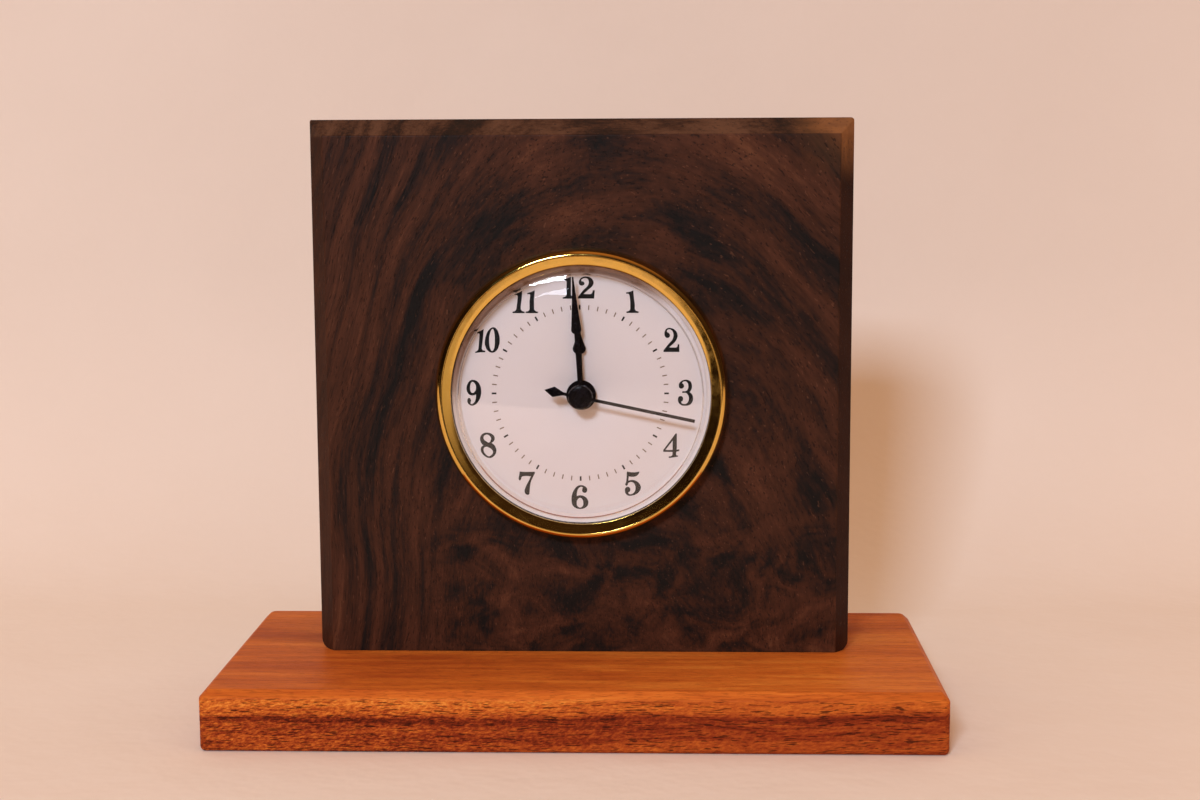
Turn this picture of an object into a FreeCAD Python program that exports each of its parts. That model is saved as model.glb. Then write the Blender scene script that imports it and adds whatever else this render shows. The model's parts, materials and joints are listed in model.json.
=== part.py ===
import FreeCAD, Part
import math
import os
from FreeCAD import Vector

# A wooden desk clock: a walnut block on a plinth, with a press-in quartz clock in a bore.
# Millimetres. X is to the right, Y to the back, Z up. The origin is the middle of the plinth's underside.
# Places inside the clock are given as (x, z) from the dial's centre and "behind" the block's face,
# so a negative depth lies in front of the wood.

# Plinth
plinth_width = 174.5
plinth_depth = 79.0
plinth_thickness = 14.65
plinth_top_chamfer = 1.8
plinth_corner_radius = 1.5
plinth_bottom_ease = 1.2

# Case block
block_width = 132.4
block_height = 131.9
block_thickness = 31.8
block_side_offset = 1.1
apron_depth = 36.3
face_chamfer_side = 3.5
face_chamfer_top = 4.0
block_foot_radius = 2.2
block_top_left_radius = 0.3
block_top_right_radius = 0.8
bore_radius = 30.0
bore_drop = 0.9
bore_rim_chamfer = 0.8

# Wood screws that hold the block on the plinth
screw_spacing = 76.0
screw_length = 38.0
screw_radius = 2.1
screw_head_radius = 4.2
screw_head_height = 2.6
screw_point_length = 5.0
screw_recess = 0.6
screw_hole_play = 0.2
screw_cross_width = 0.9
screw_cross_length = 4.4
screw_cross_depth = 1.3

# Bezel: a pressed brass ring, open at the back
bezel_radius = 36.0
bezel_skirt = 0.8
bezel_crest_radius = 34.25
bezel_crest_ahead = 5.3
bezel_groove_radius = 33.85
bezel_groove_ahead = 4.95
bezel_knee_radius = 32.9
bezel_knee_ahead = 4.85
bezel_lip_thickness = 0.75
bezel_wall = 0.8
opening_radius = 31.7

# Lens: clear, with a steep rim and a shallow dome
lens_rim_thickness = 0.8
lens_rim_width = 2.0
lens_shoulder_radius = 30.9
lens_shoulder_ahead = 7.4
lens_corner_radius = 29.9
lens_corner_ahead = 8.35
lens_crown_ahead = 12.1
lens_thickness = 1.35
lens_corner_bulge_share = 0.12

# Rings behind the lens, dial and cup
gasket_thickness = 0.3
gasket_width = 1.3
dial_ring_height = 1.9
dial_ring_foot_radius = 30.5
dial_ring_top_radius = 31.5
dial_radius = 32.9
dial_thickness = 0.3
dial_hole_play = 0.1
cup_flange_thickness = 0.8
cup_radius = 29.2
cup_wall = 1.2
cup_edge_chamfer = 0.8
bezel_play = 0.1
grip_band_start = 2.2
grip_band_width = 4.5
grip_band_play = 0.07

# Hands, in black paint. Angles are degrees clockwise from twelve, as the clock stands at rest.
hour_hand_angle = 358.0
minute_hand_angle = 356.5
second_hand_angle = 101.9
hand_thickness = 0.25
hand_stem_width = 1.1
hand_tip_width = 0.35
spade_shoulder_along_share = 0.33
spade_shoulder_across_share = 0.75
hour_hand_lift = 1.2
hour_hand_hub_radius = 3.65
hour_spade_start = 10.1
hour_spade_widest = 11.6
hour_spade_width = 3.15
hour_spade_neck = 15.3
hour_spade_neck_width = 0.95
hour_hand_length = 19.3
minute_hand_lift = 3.3
minute_hand_hub_radius = 2.6
minute_spade_start = 15.2
minute_spade_widest = 16.4
minute_spade_width = 2.45
minute_spade_neck = 21.0
minute_spade_neck_width = 1.55
minute_hand_length = 29.2
second_hand_lift = 5.6
second_hand_length = 28.1
second_hand_width = 0.6
second_hand_hub_radius = 1.4
second_hand_hub_length = 1.4
second_hand_collar_radius = 0.9
second_tail_length = 8.9
second_tail_start = 4.3
second_tail_width = 2.0
cap_radius = 3.0
cap_skirt = 0.35
cap_height = 1.05
cap_socket_depth = 0.4

# Pipes and arbors, one inside the other
bearing_play = 0.05
seconds_arbor_radius = 0.4
minute_pipe_radius = 1.0
hour_pipe_radius = 1.7
centre_tube_wall = 0.75
centre_tube_flange_radius = 3.2
centre_tube_flange_thickness = 0.25
pipe_end_past_hand = 0.15
dial_nut_thickness = 0.9
dial_nut_radius = 3.3
dial_nut_sides = 6

# Gear train: tooth counts, and modules as pitch diameter over teeth
rotor_pinion_teeth = 6
fifth_wheel_teeth = 36
fifth_pinion_teeth = 8
seconds_wheel_teeth = 40
seconds_pinion_teeth = 8
third_wheel_teeth = 60
third_pinion_teeth = 8
centre_wheel_teeth = 64
cannon_teeth = 12
minute_wheel_teeth = 36
minute_pinion_teeth = 10
hour_wheel_teeth = 40
setting_pinion_teeth = 10
train_module = 0.2
motion_module = 0.25
tooth_tip_share = 0.75
tooth_root_share = 1.15
tooth_root_width_share = 0.5
tooth_pitch_width_share = 0.4
tooth_tip_width_share = 0.16

# Where the arbors stand, in degrees from three o'clock, upwards positive
third_angle = 150
fifth_angle = 30
rotor_angle = 30
minute_wheel_angle = -60
setting_angle = -60

# Thicknesses and gaps that stack the movement from front to back
plate_thickness = 1.5
plate_play = 0.1
wheel_thickness = 0.8
layer_gap = 0.2
pinion_overhang = 0.1
clutch_thickness = 0.2
clutch_radius = 2.6
clutch_finger_width = 1.0
clutch_fingers = 3
middle_plate_thickness = 0.8
bridge_thickness = 1.0
bridge_play = 0.6
pivot_radius = 0.35
pivot_depth = 0.5
wheel_stud_radius = 0.6
wheel_hub_radius = 0.6
setting_arbor_radius = 0.8

# Step motor
rotor_magnet_radius = 1.7
rotor_magnet_gap = 0.3
rotor_spindle_radius = 0.3
stator_thickness = 0.6
stator_air_gap = 0.5
stator_eye_wall = 1.1
stator_arm_width = 3.2
stator_arm_spread = 8.0
stator_arm_knee = 7.0
stator_arm_end = 1.8
coil_rise = 13.0
core_thickness = 1.0
core_width = 2.0
core_end = 1.2
bobbin_radius = 1.6
bobbin_flange_radius = 3.1
bobbin_flange_thickness = 0.5
bobbin_end_gap = 1.9
winding_radius = 2.9
coil_boss_radius = 1.5
coil_screw_radius = 0.6
coil_screw_head_radius = 1.3
coil_screw_head_height = 0.6

# Pillars and screws of the movement
pillar_circle_radius = 24.0
pillar_angles = (200, 330, 100)
pillar_foot_radius = 2.6
pillar_radius = 1.8
pillar_sleeve_wall = 0.9
plate_screw_radius = 0.8
plate_screw_length = 4.0
plate_screw_head_radius = 1.6
plate_screw_head_height = 0.8
plate_screw_slot_width = 0.4
plate_screw_slot_depth = 0.4

# Battery, its pocket, contacts and hatch
battery_radius = 5.8
battery_height = 5.4
battery_cap_radius = 4.4
battery_cap_height = 0.4
battery_edge_radius = 0.4
battery_x = -12.0
battery_z = -13.0
battery_proud = 1.6
pocket_play = 0.25
pocket_wall = 0.8
pocket_floor = 0.8
contact_thickness = 0.3
contact_width = 3.0
contact_reach = 2.0
contact_foot_length = 5.0
contact_tab_height = 1.2
contact_tab_thickness = 0.2
hatch_ledge = 1.0
hatch_play = 0.1
hatch_flange_thickness = 0.6
hatch_battery_gap = 0.2
hatch_slot_width = 1.3
hatch_slot_length = 9.0
hatch_slot_depth = 0.35
cup_floor_gap = 1.9
cup_floor_thickness = 1.2

# Circuit board
board_width = 15.5
board_height = 11.0
board_thickness = 0.8
board_x = -10.25
board_z = 14.5
board_post_radius = 1.0
board_post_inset = 1.5
chip_radius = 2.4
chip_top_radius = 1.8
chip_height = 0.8
chip_shift = 3.6
crystal_radius = 0.75
crystal_length = 5.0
crystal_shift = 3.4

# Setting knob at the back
knob_radius = 3.6
knob_thickness = 2.6
knob_gap = 0.3
knob_flutes = 20
knob_flute_radius = 0.35
knob_socket_depth = 1.8
knob_pointer_width = 0.7
knob_pointer_depth = 0.4

# How far a cutting shape runs past what it cuts
overrun = 1.0

BACKWARDS = Vector(0, 1, 0)
UP = Vector(0, 0, 1)

# The frame of the whole clock
face_y = apron_depth - plinth_depth / 2
insert_x = block_side_offset
insert_z = plinth_thickness + block_height / 2 - bore_drop
block_back_y = face_y + block_thickness

# Depths in front of the block's face
dial_back = -cup_flange_thickness
dial_front = dial_back - dial_thickness
dial_ring_front = dial_front - dial_ring_height
gasket_front = dial_ring_front - gasket_thickness
lens_rim_front = gasket_front - lens_rim_thickness
bezel_lip_front = lens_rim_front - bezel_lip_thickness
hour_hand_back = dial_front - hour_hand_lift
minute_hand_back = dial_front - minute_hand_lift
second_hand_back = dial_front - second_hand_lift
hour_pipe_front = hour_hand_back - hand_thickness - pipe_end_past_hand
minute_pipe_front = minute_hand_back - hand_thickness - pipe_end_past_hand
second_hand_front = second_hand_back - hand_thickness
seconds_arbor_front = second_hand_front - cap_socket_depth

# Depths behind the face, layer by layer
plate_front = dial_back
plate_back = plate_front + plate_thickness
tube_flange_back = plate_back + centre_tube_flange_thickness
hour_wheel_front = tube_flange_back + layer_gap / 2
hour_wheel_back = hour_wheel_front + wheel_thickness
minute_wheel_front = hour_wheel_back + layer_gap
minute_wheel_back = minute_wheel_front + wheel_thickness
centre_wheel_front = minute_wheel_back + layer_gap
centre_wheel_back = centre_wheel_front + wheel_thickness
clutch_back = centre_wheel_back + clutch_thickness
cannon_back = clutch_back + pinion_overhang
middle_front = cannon_back + layer_gap
middle_back = middle_front + middle_plate_thickness
third_wheel_front = middle_back + layer_gap
third_wheel_back = third_wheel_front + wheel_thickness
seconds_wheel_front = third_wheel_back + layer_gap
seconds_wheel_back = seconds_wheel_front + wheel_thickness
fifth_wheel_front = seconds_wheel_back + layer_gap
fifth_wheel_back = fifth_wheel_front + wheel_thickness
rotor_magnet_front = middle_back + rotor_magnet_gap
rotor_magnet_back = fifth_wheel_front - layer_gap
stator_middle = (rotor_magnet_front + rotor_magnet_back) / 2
stator_front = stator_middle - stator_thickness / 2
stator_back = stator_middle + stator_thickness / 2
core_back = stator_back + core_thickness
coil_depth = stator_back + core_thickness / 2
bridge_front = coil_depth + bobbin_flange_radius + layer_gap
bridge_back = bridge_front + bridge_thickness
arbor_end = bridge_front + pivot_depth
battery_back = bridge_back + battery_proud
battery_front = battery_back - battery_height
contact_front = battery_front - contact_thickness
pocket_front = contact_front - pocket_floor
board_back = battery_front + board_thickness
cup_floor_front = bridge_back + cup_floor_gap
cup_back = cup_floor_front + cup_floor_thickness
knob_front = cup_back + knob_gap
knob_back = knob_front + knob_thickness

# Radii that follow from their neighbours
minute_pipe_bore = seconds_arbor_radius + bearing_play
hour_pipe_bore = minute_pipe_radius + bearing_play
centre_tube_bore = hour_pipe_radius + bearing_play
centre_tube_radius = centre_tube_bore + centre_tube_wall
ring_radius = dial_radius
bezel_cavity_radius = ring_radius + bezel_play
lens_rim_radius = ring_radius
cup_inner_radius = cup_radius - cup_wall
cup_mouth_radius = cup_radius - cup_wall / 2
plate_radius = cup_mouth_radius - plate_play
bridge_radius = cup_inner_radius - bridge_play
grip_band_radius = bore_radius - grip_band_play
stator_eye_radius = rotor_magnet_radius + stator_air_gap
stator_disc_radius = stator_eye_radius + stator_eye_wall
pocket_radius = battery_radius + pocket_play
pillar_sleeve_bore = pillar_radius + plate_play
pillar_sleeve_radius = pillar_sleeve_bore + pillar_sleeve_wall
hatch_bore = battery_radius + hatch_ledge / 2 - hatch_play
hatch_seat_radius = hatch_bore + hatch_ledge


def polar(distance, direction, start=(0, 0)):
    """The (x, z) place at a distance and a direction from another place."""
    angle = math.radians(direction)
    return (start[0] + distance * math.cos(angle), start[1] + distance * math.sin(angle))


# Arbor distances: half the module times the teeth of both gears
third_distance = train_module * (third_pinion_teeth + centre_wheel_teeth) / 2
third_module = 2 * third_distance / (seconds_pinion_teeth + third_wheel_teeth)
fifth_distance = train_module * (fifth_pinion_teeth + seconds_wheel_teeth) / 2
rotor_distance = train_module * (rotor_pinion_teeth + fifth_wheel_teeth) / 2
motion_distance = motion_module * (cannon_teeth + minute_wheel_teeth) / 2
hour_module = 2 * motion_distance / (minute_pinion_teeth + hour_wheel_teeth)
setting_distance = motion_module * (minute_wheel_teeth + setting_pinion_teeth) / 2
centre_place = (0, 0)
third_place = polar(third_distance, third_angle)
fifth_place = polar(fifth_distance, fifth_angle)
rotor_place = polar(rotor_distance, rotor_angle, fifth_place)
minute_wheel_place = polar(motion_distance, minute_wheel_angle)
setting_place = polar(setting_distance, setting_angle, minute_wheel_place)
battery_place = (battery_x, battery_z)
pillar_places = [polar(pillar_circle_radius, angle) for angle in pillar_angles]
coil_z = rotor_place[1] + coil_rise
coil_ends = [(rotor_place[0] + side * stator_arm_spread, coil_z) for side in (-1, 1)]


def place(spot, behind):
    """A point of the clock from its (x, z) spot and its depth behind the block's face."""
    return Vector(insert_x + spot[0], face_y + behind, insert_z + spot[1])


def rod(radius, start, end, spot=centre_place):
    """A round bar that lies front to back."""
    return Part.makeCylinder(radius, end - start, place(spot, start), BACKWARDS)


def tube(radius, bore, start, end, spot=centre_place):
    """A round bar with a hole right through."""
    return rod(radius, start, end, spot).cut(rod(bore, start - overrun, end + overrun, spot))


def slab(spots, start, end):
    """A flat plate whose outline is a list of (x, z) spots."""
    corners = [place(spot, start) for spot in spots]
    outline = Part.makePolygon(corners + corners[:1])
    return Part.Face(outline).extrude(BACKWARDS * (end - start))


def bar(width, spot_a, spot_b, start, end):
    """A flat bar of one width from one spot to another."""
    along = Vector(spot_b[0] - spot_a[0], spot_b[1] - spot_a[1], 0)
    side = Vector(-along.y, along.x, 0).normalize() * (width / 2)
    corners = []
    for spot, sign in ((spot_a, 1), (spot_b, 1), (spot_b, -1), (spot_a, -1)):
        corners.append((spot[0] + sign * side.x, spot[1] + sign * side.y))
    return slab(corners, start, end)


def turned(start, *steps):
    """A ring turned about the dial's axis. Each step is a (radius, depth) point for a straight
    line, or a pair of points for an arc through the first to the second."""
    edges = []
    here = place((start[0], 0), start[1])
    for step in steps + (start,):
        if isinstance(step[0], tuple):
            middle, end = [place((point[0], 0), point[1]) for point in step]
            edges.append(Part.Arc(here, middle, end).toShape())
        else:
            end = place((step[0], 0), step[1])
            edges.append(Part.LineSegment(here, end).toShape())
        here = end
    section = Part.Face(Part.Wire(edges))
    return section.revolve(place(centre_place, 0), BACKWARDS, 360)


def dome_middle(edge_radius, edge_depth, crown_depth):
    """The point of a domed cap at half its radius, for a cap that is part of a sphere."""
    rise = crown_depth - edge_depth
    sphere = (edge_radius ** 2 + rise ** 2) / (2 * rise)
    drop = sphere - math.copysign(math.sqrt(sphere ** 2 - (edge_radius / 2) ** 2), sphere)
    return (edge_radius / 2, crown_depth - drop)


def gear(teeth, module, phase, start, end, spot=centre_place):
    """A spur gear with tapered teeth. phase is the direction of one tooth's middle."""
    pitch_radius = module * teeth / 2
    step = 2 * math.pi / teeth
    root = (pitch_radius - module * tooth_root_share, tooth_root_width_share / 2)
    pitch = (pitch_radius, tooth_pitch_width_share / 2)
    tip = (pitch_radius + module * tooth_tip_share, tooth_tip_width_share / 2)
    spots = []
    for number in range(teeth):
        middle = math.radians(phase) + number * step
        for side, flank in ((-1, (root, pitch, tip)), (1, (tip, pitch, root))):
            for radius, half_width in flank:
                angle = middle + side * half_width * step * pitch_radius / radius
                spots.append(polar(radius, math.degrees(angle), spot))
    return slab(spots, start, end)


def meshed_phase(teeth, direction, other_teeth, other_phase):
    """The phase at which a gear's gap takes the tooth of another gear, which it meets
    when it lies in the given direction from that gear."""
    offset = (other_phase - direction) * other_teeth / teeth
    return direction + 180 - offset + 180 / teeth


def save(name, shape):
    """One file for each sub-part."""
    shape.exportStep("parts/" + name + ".step")
    solids = len(shape.Solids)
    print(name, "solids", solids, "volume", round(shape.Volume, 3), "valid", shape.isValid())


# Wood


def long_edges(box, test):
    """The straight front-to-back edges of a box whose middle passes a test."""
    return [edge for edge in box.Edges if runs_along(edge, 1) and test(edge.CenterOfMass)]


def block_outline_box():
    """The block before its chamfers: rounded at its four long corners."""
    corner = Vector(insert_x - block_width / 2, face_y, plinth_thickness)
    box = Part.makeBox(block_width, block_thickness, block_height, corner)
    middle_z = plinth_thickness + block_height / 2
    feet = long_edges(box, lambda middle: middle.z < middle_z)
    left = long_edges(box, lambda middle: middle.z > middle_z and middle.x < insert_x)
    right = long_edges(box, lambda middle: middle.z > middle_z and middle.x > insert_x)
    box = box.makeFillet(block_foot_radius, feet)
    for radius, old_edges in ((block_top_left_radius, left), (block_top_right_radius, right)):
        place_of_edge = old_edges[0].CenterOfMass
        edges = long_edges(box, lambda middle: middle.distanceToPoint(place_of_edge) < radius)
        box = box.makeFillet(radius, edges)
    return box


def runs_along(edge, axis):
    """Whether a straight edge is parallel to axis 0, 1 or 2."""
    if edge.Curve.TypeId != "Part::GeomLine":
        return False
    direction = edge.Curve.Direction
    return abs(direction[axis]) > 1 - 1e-6


def chamfer_wedge(leg, length, at, turn):
    """A three-sided bar that cuts a 45 degree chamfer off an edge of the face. It runs along X
    from at, above the edge, and is turned about Y."""
    corners = [Vector(-length / 2, -overrun, overrun),
               Vector(-length / 2, -overrun, -leg - overrun),
               Vector(-length / 2, leg + overrun, overrun)]
    wedge = Part.Face(Part.makePolygon(corners + corners[:1])).extrude(Vector(length, 0, 0))
    wedge.rotate(Vector(0, 0, 0), BACKWARDS, turn)
    wedge.translate(at)
    return wedge


def case_block():
    block = block_outline_box()
    middle_z = plinth_thickness + block_height / 2
    reach = 2 * (block_width + block_height)
    top = Vector(insert_x, face_y, plinth_thickness + block_height)
    block = block.cut(chamfer_wedge(face_chamfer_top, reach, top, 0))
    for side in (-1, 1):
        edge = Vector(insert_x + side * block_width / 2, face_y, middle_z)
        block = block.cut(chamfer_wedge(face_chamfer_side, reach, edge, side * 90))
    block = block.cut(rod(bore_radius, -overrun, block_thickness + overrun))
    rim = Part.makeCone(bore_radius, bore_radius + bore_rim_chamfer, bore_rim_chamfer,
                        place(centre_place, block_thickness - bore_rim_chamfer), BACKWARDS)
    block = block.cut(rim)
    for x in screw_columns():
        block = block.cut(screw_body(x, screw_radius))
    return block


def screw_columns():
    return [insert_x - screw_spacing / 2, insert_x + screw_spacing / 2]


def screw_body(x, shank_radius):
    """A countersunk screw's outline, point up."""
    middle_y = face_y + block_thickness / 2
    neck_z = screw_recess + screw_head_height
    point_z = screw_recess + screw_length - screw_point_length
    head = Part.makeCone(screw_head_radius, shank_radius, screw_head_height,
                         Vector(x, middle_y, screw_recess), UP)
    shank = Part.makeCylinder(shank_radius, point_z - neck_z, Vector(x, middle_y, neck_z), UP)
    point = Part.makeCone(shank_radius, 0, screw_point_length, Vector(x, middle_y, point_z), UP)
    return head.fuse([shank, point]).removeSplitter()


def base_screw(x):
    middle_y = face_y + block_thickness / 2
    screw = screw_body(x, screw_radius)
    for length, width in ((screw_cross_length, screw_cross_width), (screw_cross_width, screw_cross_length)):
        corner = Vector(x - length / 2, middle_y - width / 2, screw_recess)
        screw = screw.cut(Part.makeBox(length, width, screw_cross_depth, corner))
    return screw


def base_plinth():
    corner = Vector(-plinth_width / 2, -plinth_depth / 2, 0)
    rounded = Part.makeBox(plinth_width, plinth_depth, plinth_thickness, corner)
    chamfered = rounded.makeChamfer(plinth_top_chamfer, [edge for edge in rounded.Edges
                                                         if edge.BoundBox.ZMin > plinth_thickness / 2])
    uprights = [edge for edge in rounded.Edges if runs_along(edge, 2)]
    rounded = rounded.makeFillet(plinth_corner_radius, uprights)
    bottom = [edge for edge in rounded.Edges if edge.BoundBox.ZMax < plinth_bottom_ease / 2]
    plinth = rounded.makeFillet(plinth_bottom_ease, bottom).common(chamfered)
    middle_y = face_y + block_thickness / 2
    for x in screw_columns():
        foot = Vector(x, middle_y, -overrun)
        mouth = Part.makeCylinder(screw_head_radius, screw_recess + overrun, foot, UP)
        through = Part.makeCylinder(screw_radius + screw_hole_play, plinth_thickness + 2 * overrun, foot, UP)
        plinth = plinth.cut([mouth, through, screw_body(x, screw_radius)])
    return plinth


# The clock's shell


def bezel():
    flank_radius = (bezel_radius + bezel_crest_radius) / 2
    bulge = (bezel_radius - bezel_crest_radius) * (math.sqrt(2) - 1) / 2
    flank_ahead = (bezel_skirt + bezel_crest_ahead) / 2
    inside_radius = bezel_cavity_radius + bezel_wall
    outside_radius = bezel_radius - bezel_wall
    channel_ahead = bezel_groove_ahead - 2 * bezel_wall
    return turned(
        (bezel_cavity_radius, 0),
        (inside_radius, 0),
        (inside_radius, -channel_ahead),
        (outside_radius - bezel_wall / 2, -channel_ahead),
        (outside_radius, -channel_ahead / 2),
        (outside_radius, 0),
        (bezel_radius, 0),
        (bezel_radius, -bezel_skirt),
        ((flank_radius + bulge, -flank_ahead - bulge), (bezel_crest_radius, -bezel_crest_ahead)),
        (bezel_groove_radius, -bezel_groove_ahead),
        (bezel_knee_radius, -bezel_knee_ahead),
        (opening_radius, bezel_lip_front),
        (opening_radius, lens_rim_front),
        (bezel_cavity_radius, lens_rim_front),
    )


def lens():
    """A shell of one thickness: rim, steep wall, small corner and dome."""
    wall_foot = opening_radius - bezel_play
    inner_shoulder = lens_shoulder_radius - lens_thickness
    inner_edge_radius = lens_corner_radius - lens_thickness
    bulge = lens_corner_bulge_share * (lens_corner_ahead - lens_shoulder_ahead)
    corner_radius = (lens_shoulder_radius + lens_corner_radius) / 2 + bulge
    corner_ahead = (lens_shoulder_ahead + lens_corner_ahead) / 2 + bulge
    inner_crown = lens_crown_ahead - lens_thickness
    inner_edge_ahead = lens_corner_ahead - lens_thickness
    return turned(
        (0, -lens_crown_ahead),
        (dome_middle(lens_corner_radius, -lens_corner_ahead, -lens_crown_ahead),
         (lens_corner_radius, -lens_corner_ahead)),
        ((corner_radius, -corner_ahead), (lens_shoulder_radius, -lens_shoulder_ahead)),
        (wall_foot, lens_rim_front),
        (lens_rim_radius, lens_rim_front),
        (lens_rim_radius, gasket_front),
        (lens_rim_radius - lens_rim_width, gasket_front),
        (inner_shoulder, -lens_shoulder_ahead + lens_thickness),
        (inner_edge_radius, -inner_edge_ahead),
        (dome_middle(inner_edge_radius, -inner_edge_ahead, -inner_crown), (0, -inner_crown)),
    )


def dial_ring():
    return turned(
        (dial_ring_foot_radius, dial_front),
        (ring_radius, dial_front),
        (ring_radius, dial_ring_front),
        (dial_ring_top_radius, dial_ring_front),
    )


def insert_cup():
    flange_radius = ring_radius
    cup = turned(
        (0, cup_floor_front),
        (cup_inner_radius, cup_floor_front),
        (cup_inner_radius, plate_back),
        (cup_mouth_radius, plate_back),
        (cup_mouth_radius, dial_back),
        (flange_radius, dial_back),
        (flange_radius, 0),
        (cup_radius, 0),
        (cup_radius, cup_back - cup_edge_chamfer),
        (cup_radius - cup_edge_chamfer, cup_back),
        (0, cup_back),
    )
    hatch = rod(hatch_bore, cup_floor_front - overrun, cup_back + overrun, battery_place)
    seat = rod(hatch_seat_radius, cup_back - hatch_flange_thickness, cup_back + overrun, battery_place)
    knob_hole = rod(setting_arbor_radius + bearing_play, cup_floor_front - overrun, cup_back + overrun,
                    setting_place)
    return cup.cut([hatch, seat, knob_hole])


def battery_cover():
    flange_front = cup_back - hatch_flange_thickness
    flange = rod(hatch_seat_radius - hatch_play, flange_front, cup_back, battery_place)
    plug = rod(hatch_bore - hatch_play, battery_back + hatch_battery_gap, flange_front, battery_place)
    slot = bar(hatch_slot_width, (battery_x - hatch_slot_length / 2, battery_z),
               (battery_x + hatch_slot_length / 2, battery_z), cup_back - hatch_slot_depth,
               cup_back + overrun)
    return flange.fuse(plug).removeSplitter().cut(slot)


# Hands


def hand_spot(along, across, degrees):
    """A spot on a hand that points so many degrees clockwise from twelve."""
    angle = math.radians(degrees)
    x = along * math.sin(angle) + across * math.cos(angle)
    z = along * math.cos(angle) - across * math.sin(angle)
    return (x, z)


def spade_hand(degrees, back, hub_radius, bore, start, widest, width, neck, neck_width, length):
    """A stamped hand: hub, straight stem and a spade that draws in to a fine tip."""
    front = back - hand_thickness
    half_stem = hand_stem_width / 2
    right = [(0, half_stem), (start, half_stem), (widest, width / 2), (neck, neck_width / 2),
             (length, hand_tip_width / 2)]

    def point(along, across):
        return place(hand_spot(along, across, degrees), front)

    edges = [Part.LineSegment(point(*right[0]), point(*right[1])).toShape()]
    shoulder = (start + spade_shoulder_along_share * (widest - start),
                half_stem + spade_shoulder_across_share * (width / 2 - half_stem))
    edges.append(Part.Arc(point(*right[1]), point(*shoulder), point(*right[2])).toShape())
    edges.append(Part.Arc(point(*right[2]), point(*right[3]), point(*right[4])).toShape())
    edges.append(Part.LineSegment(point(*right[4]), point(length, -hand_tip_width / 2)).toShape())
    edges.append(Part.Arc(point(length, -hand_tip_width / 2), point(neck, -neck_width / 2),
                          point(widest, -width / 2)).toShape())
    edges.append(Part.Arc(point(widest, -width / 2), point(shoulder[0], -shoulder[1]),
                          point(start, -half_stem)).toShape())
    edges.append(Part.LineSegment(point(start, -half_stem), point(0, -half_stem)).toShape())
    edges.append(Part.LineSegment(point(0, -half_stem), point(0, half_stem)).toShape())
    blade = Part.Face(Part.Wire(edges)).extrude(BACKWARDS * hand_thickness)
    hand = blade.fuse(rod(hub_radius, front, back)).removeSplitter()
    return hand.cut(rod(bore, front - overrun, back + overrun))


def second_hand(degrees):
    """A straight needle with a lozenge on its tail, riveted to a collar."""
    front = second_hand_front
    back = second_hand_back
    half = second_hand_width / 2
    tail_middle = (second_tail_start + second_tail_length) / 2
    outline = [(second_hand_length, half), (-second_tail_start, half), (-tail_middle, second_tail_width / 2),
               (-second_tail_length, 0), (-tail_middle, -second_tail_width / 2), (-second_tail_start, -half),
               (second_hand_length, -half)]
    needle = slab([hand_spot(along, across, degrees) for along, across in outline], front, back)
    hub = rod(second_hand_hub_radius, front, back)
    collar = rod(second_hand_collar_radius, back, back + second_hand_hub_length)
    hand = needle.fuse([hub, collar]).removeSplitter()
    return hand.cut(rod(seconds_arbor_radius, front - overrun, back + second_hand_hub_length + overrun))


def second_hand_cap():
    """A domed cap over the middle of the second hand, with a socket for the arbor's end."""
    crown = second_hand_front - cap_height
    shoulder = second_hand_front - cap_skirt
    socket_end = second_hand_front - cap_socket_depth
    return turned(
        (seconds_arbor_radius, second_hand_front),
        (cap_radius, second_hand_front),
        (cap_radius, shoulder),
        (dome_middle(cap_radius, shoulder, crown), (0, crown)),
        (0, socket_end),
        (seconds_arbor_radius, socket_end),
    )


# Movement: plates


def movement_plate():
    """The front plate, with the pillars, the stud of the minute wheel and the front bearings."""
    plate = rod(plate_radius, plate_front, plate_back)
    feet = [rod(pillar_foot_radius, plate_back, middle_front, spot) for spot in pillar_places]
    pillars = [rod(pillar_radius, middle_front, bridge_front, spot) for spot in pillar_places]
    stud = rod(wheel_stud_radius, plate_back, minute_wheel_back, minute_wheel_place)
    plate = plate.fuse(feet + pillars + [stud]).removeSplitter()
    screw_start = bridge_back - plate_screw_length
    holes = [rod(plate_screw_radius, screw_start, bridge_front + overrun, spot) for spot in pillar_places]
    holes.append(rod(centre_tube_radius, plate_front - overrun, plate_back + overrun))
    bearing = plate_back - pivot_depth
    holes.append(rod(pivot_radius + bearing_play, bearing, plate_back + overrun, third_place))
    holes.append(rod(setting_arbor_radius + bearing_play, bearing, plate_back + overrun, setting_place))
    return plate.cut(holes)


def middle_plate():
    """The plate between the motion work and the going train, with the coil and board posts."""
    plate = rod(bridge_radius, middle_front, middle_back)
    bosses = [rod(coil_boss_radius, middle_back, stator_front, spot) for spot in coil_ends]
    posts = [rod(board_post_radius, middle_back, battery_front, spot) for spot in board_posts()]
    plate = plate.fuse(bosses + posts).removeSplitter()
    first = middle_front - overrun
    last = middle_back + overrun
    passage = third_pinion_teeth * train_module / 2 + 2 * train_module + layer_gap
    setting_passage = setting_pinion_teeth * motion_module / 2 + motion_module + layer_gap
    holes = [rod(seconds_arbor_radius + bearing_play, first, last),
             rod(passage, first, last, third_place),
             rod(setting_passage, first, last, setting_place),
             rod(pivot_radius + bearing_play, middle_back - pivot_depth, last, fifth_place),
             rod(rotor_spindle_radius + bearing_play, middle_back - pivot_depth, last, rotor_place)]
    holes += [rod(pillar_sleeve_bore, first, last, spot) for spot in pillar_places]
    holes += [rod(coil_screw_radius, first, stator_front + overrun, spot) for spot in coil_ends]
    window_left = coil_ends[0][0] + bobbin_end_gap - layer_gap
    window_right = coil_ends[1][0] - bobbin_end_gap + layer_gap
    window_half = bobbin_flange_radius + layer_gap
    holes.append(bar(2 * window_half, (window_left, coil_z), (window_right, coil_z), first, last))
    return plate.cut(holes)


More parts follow.
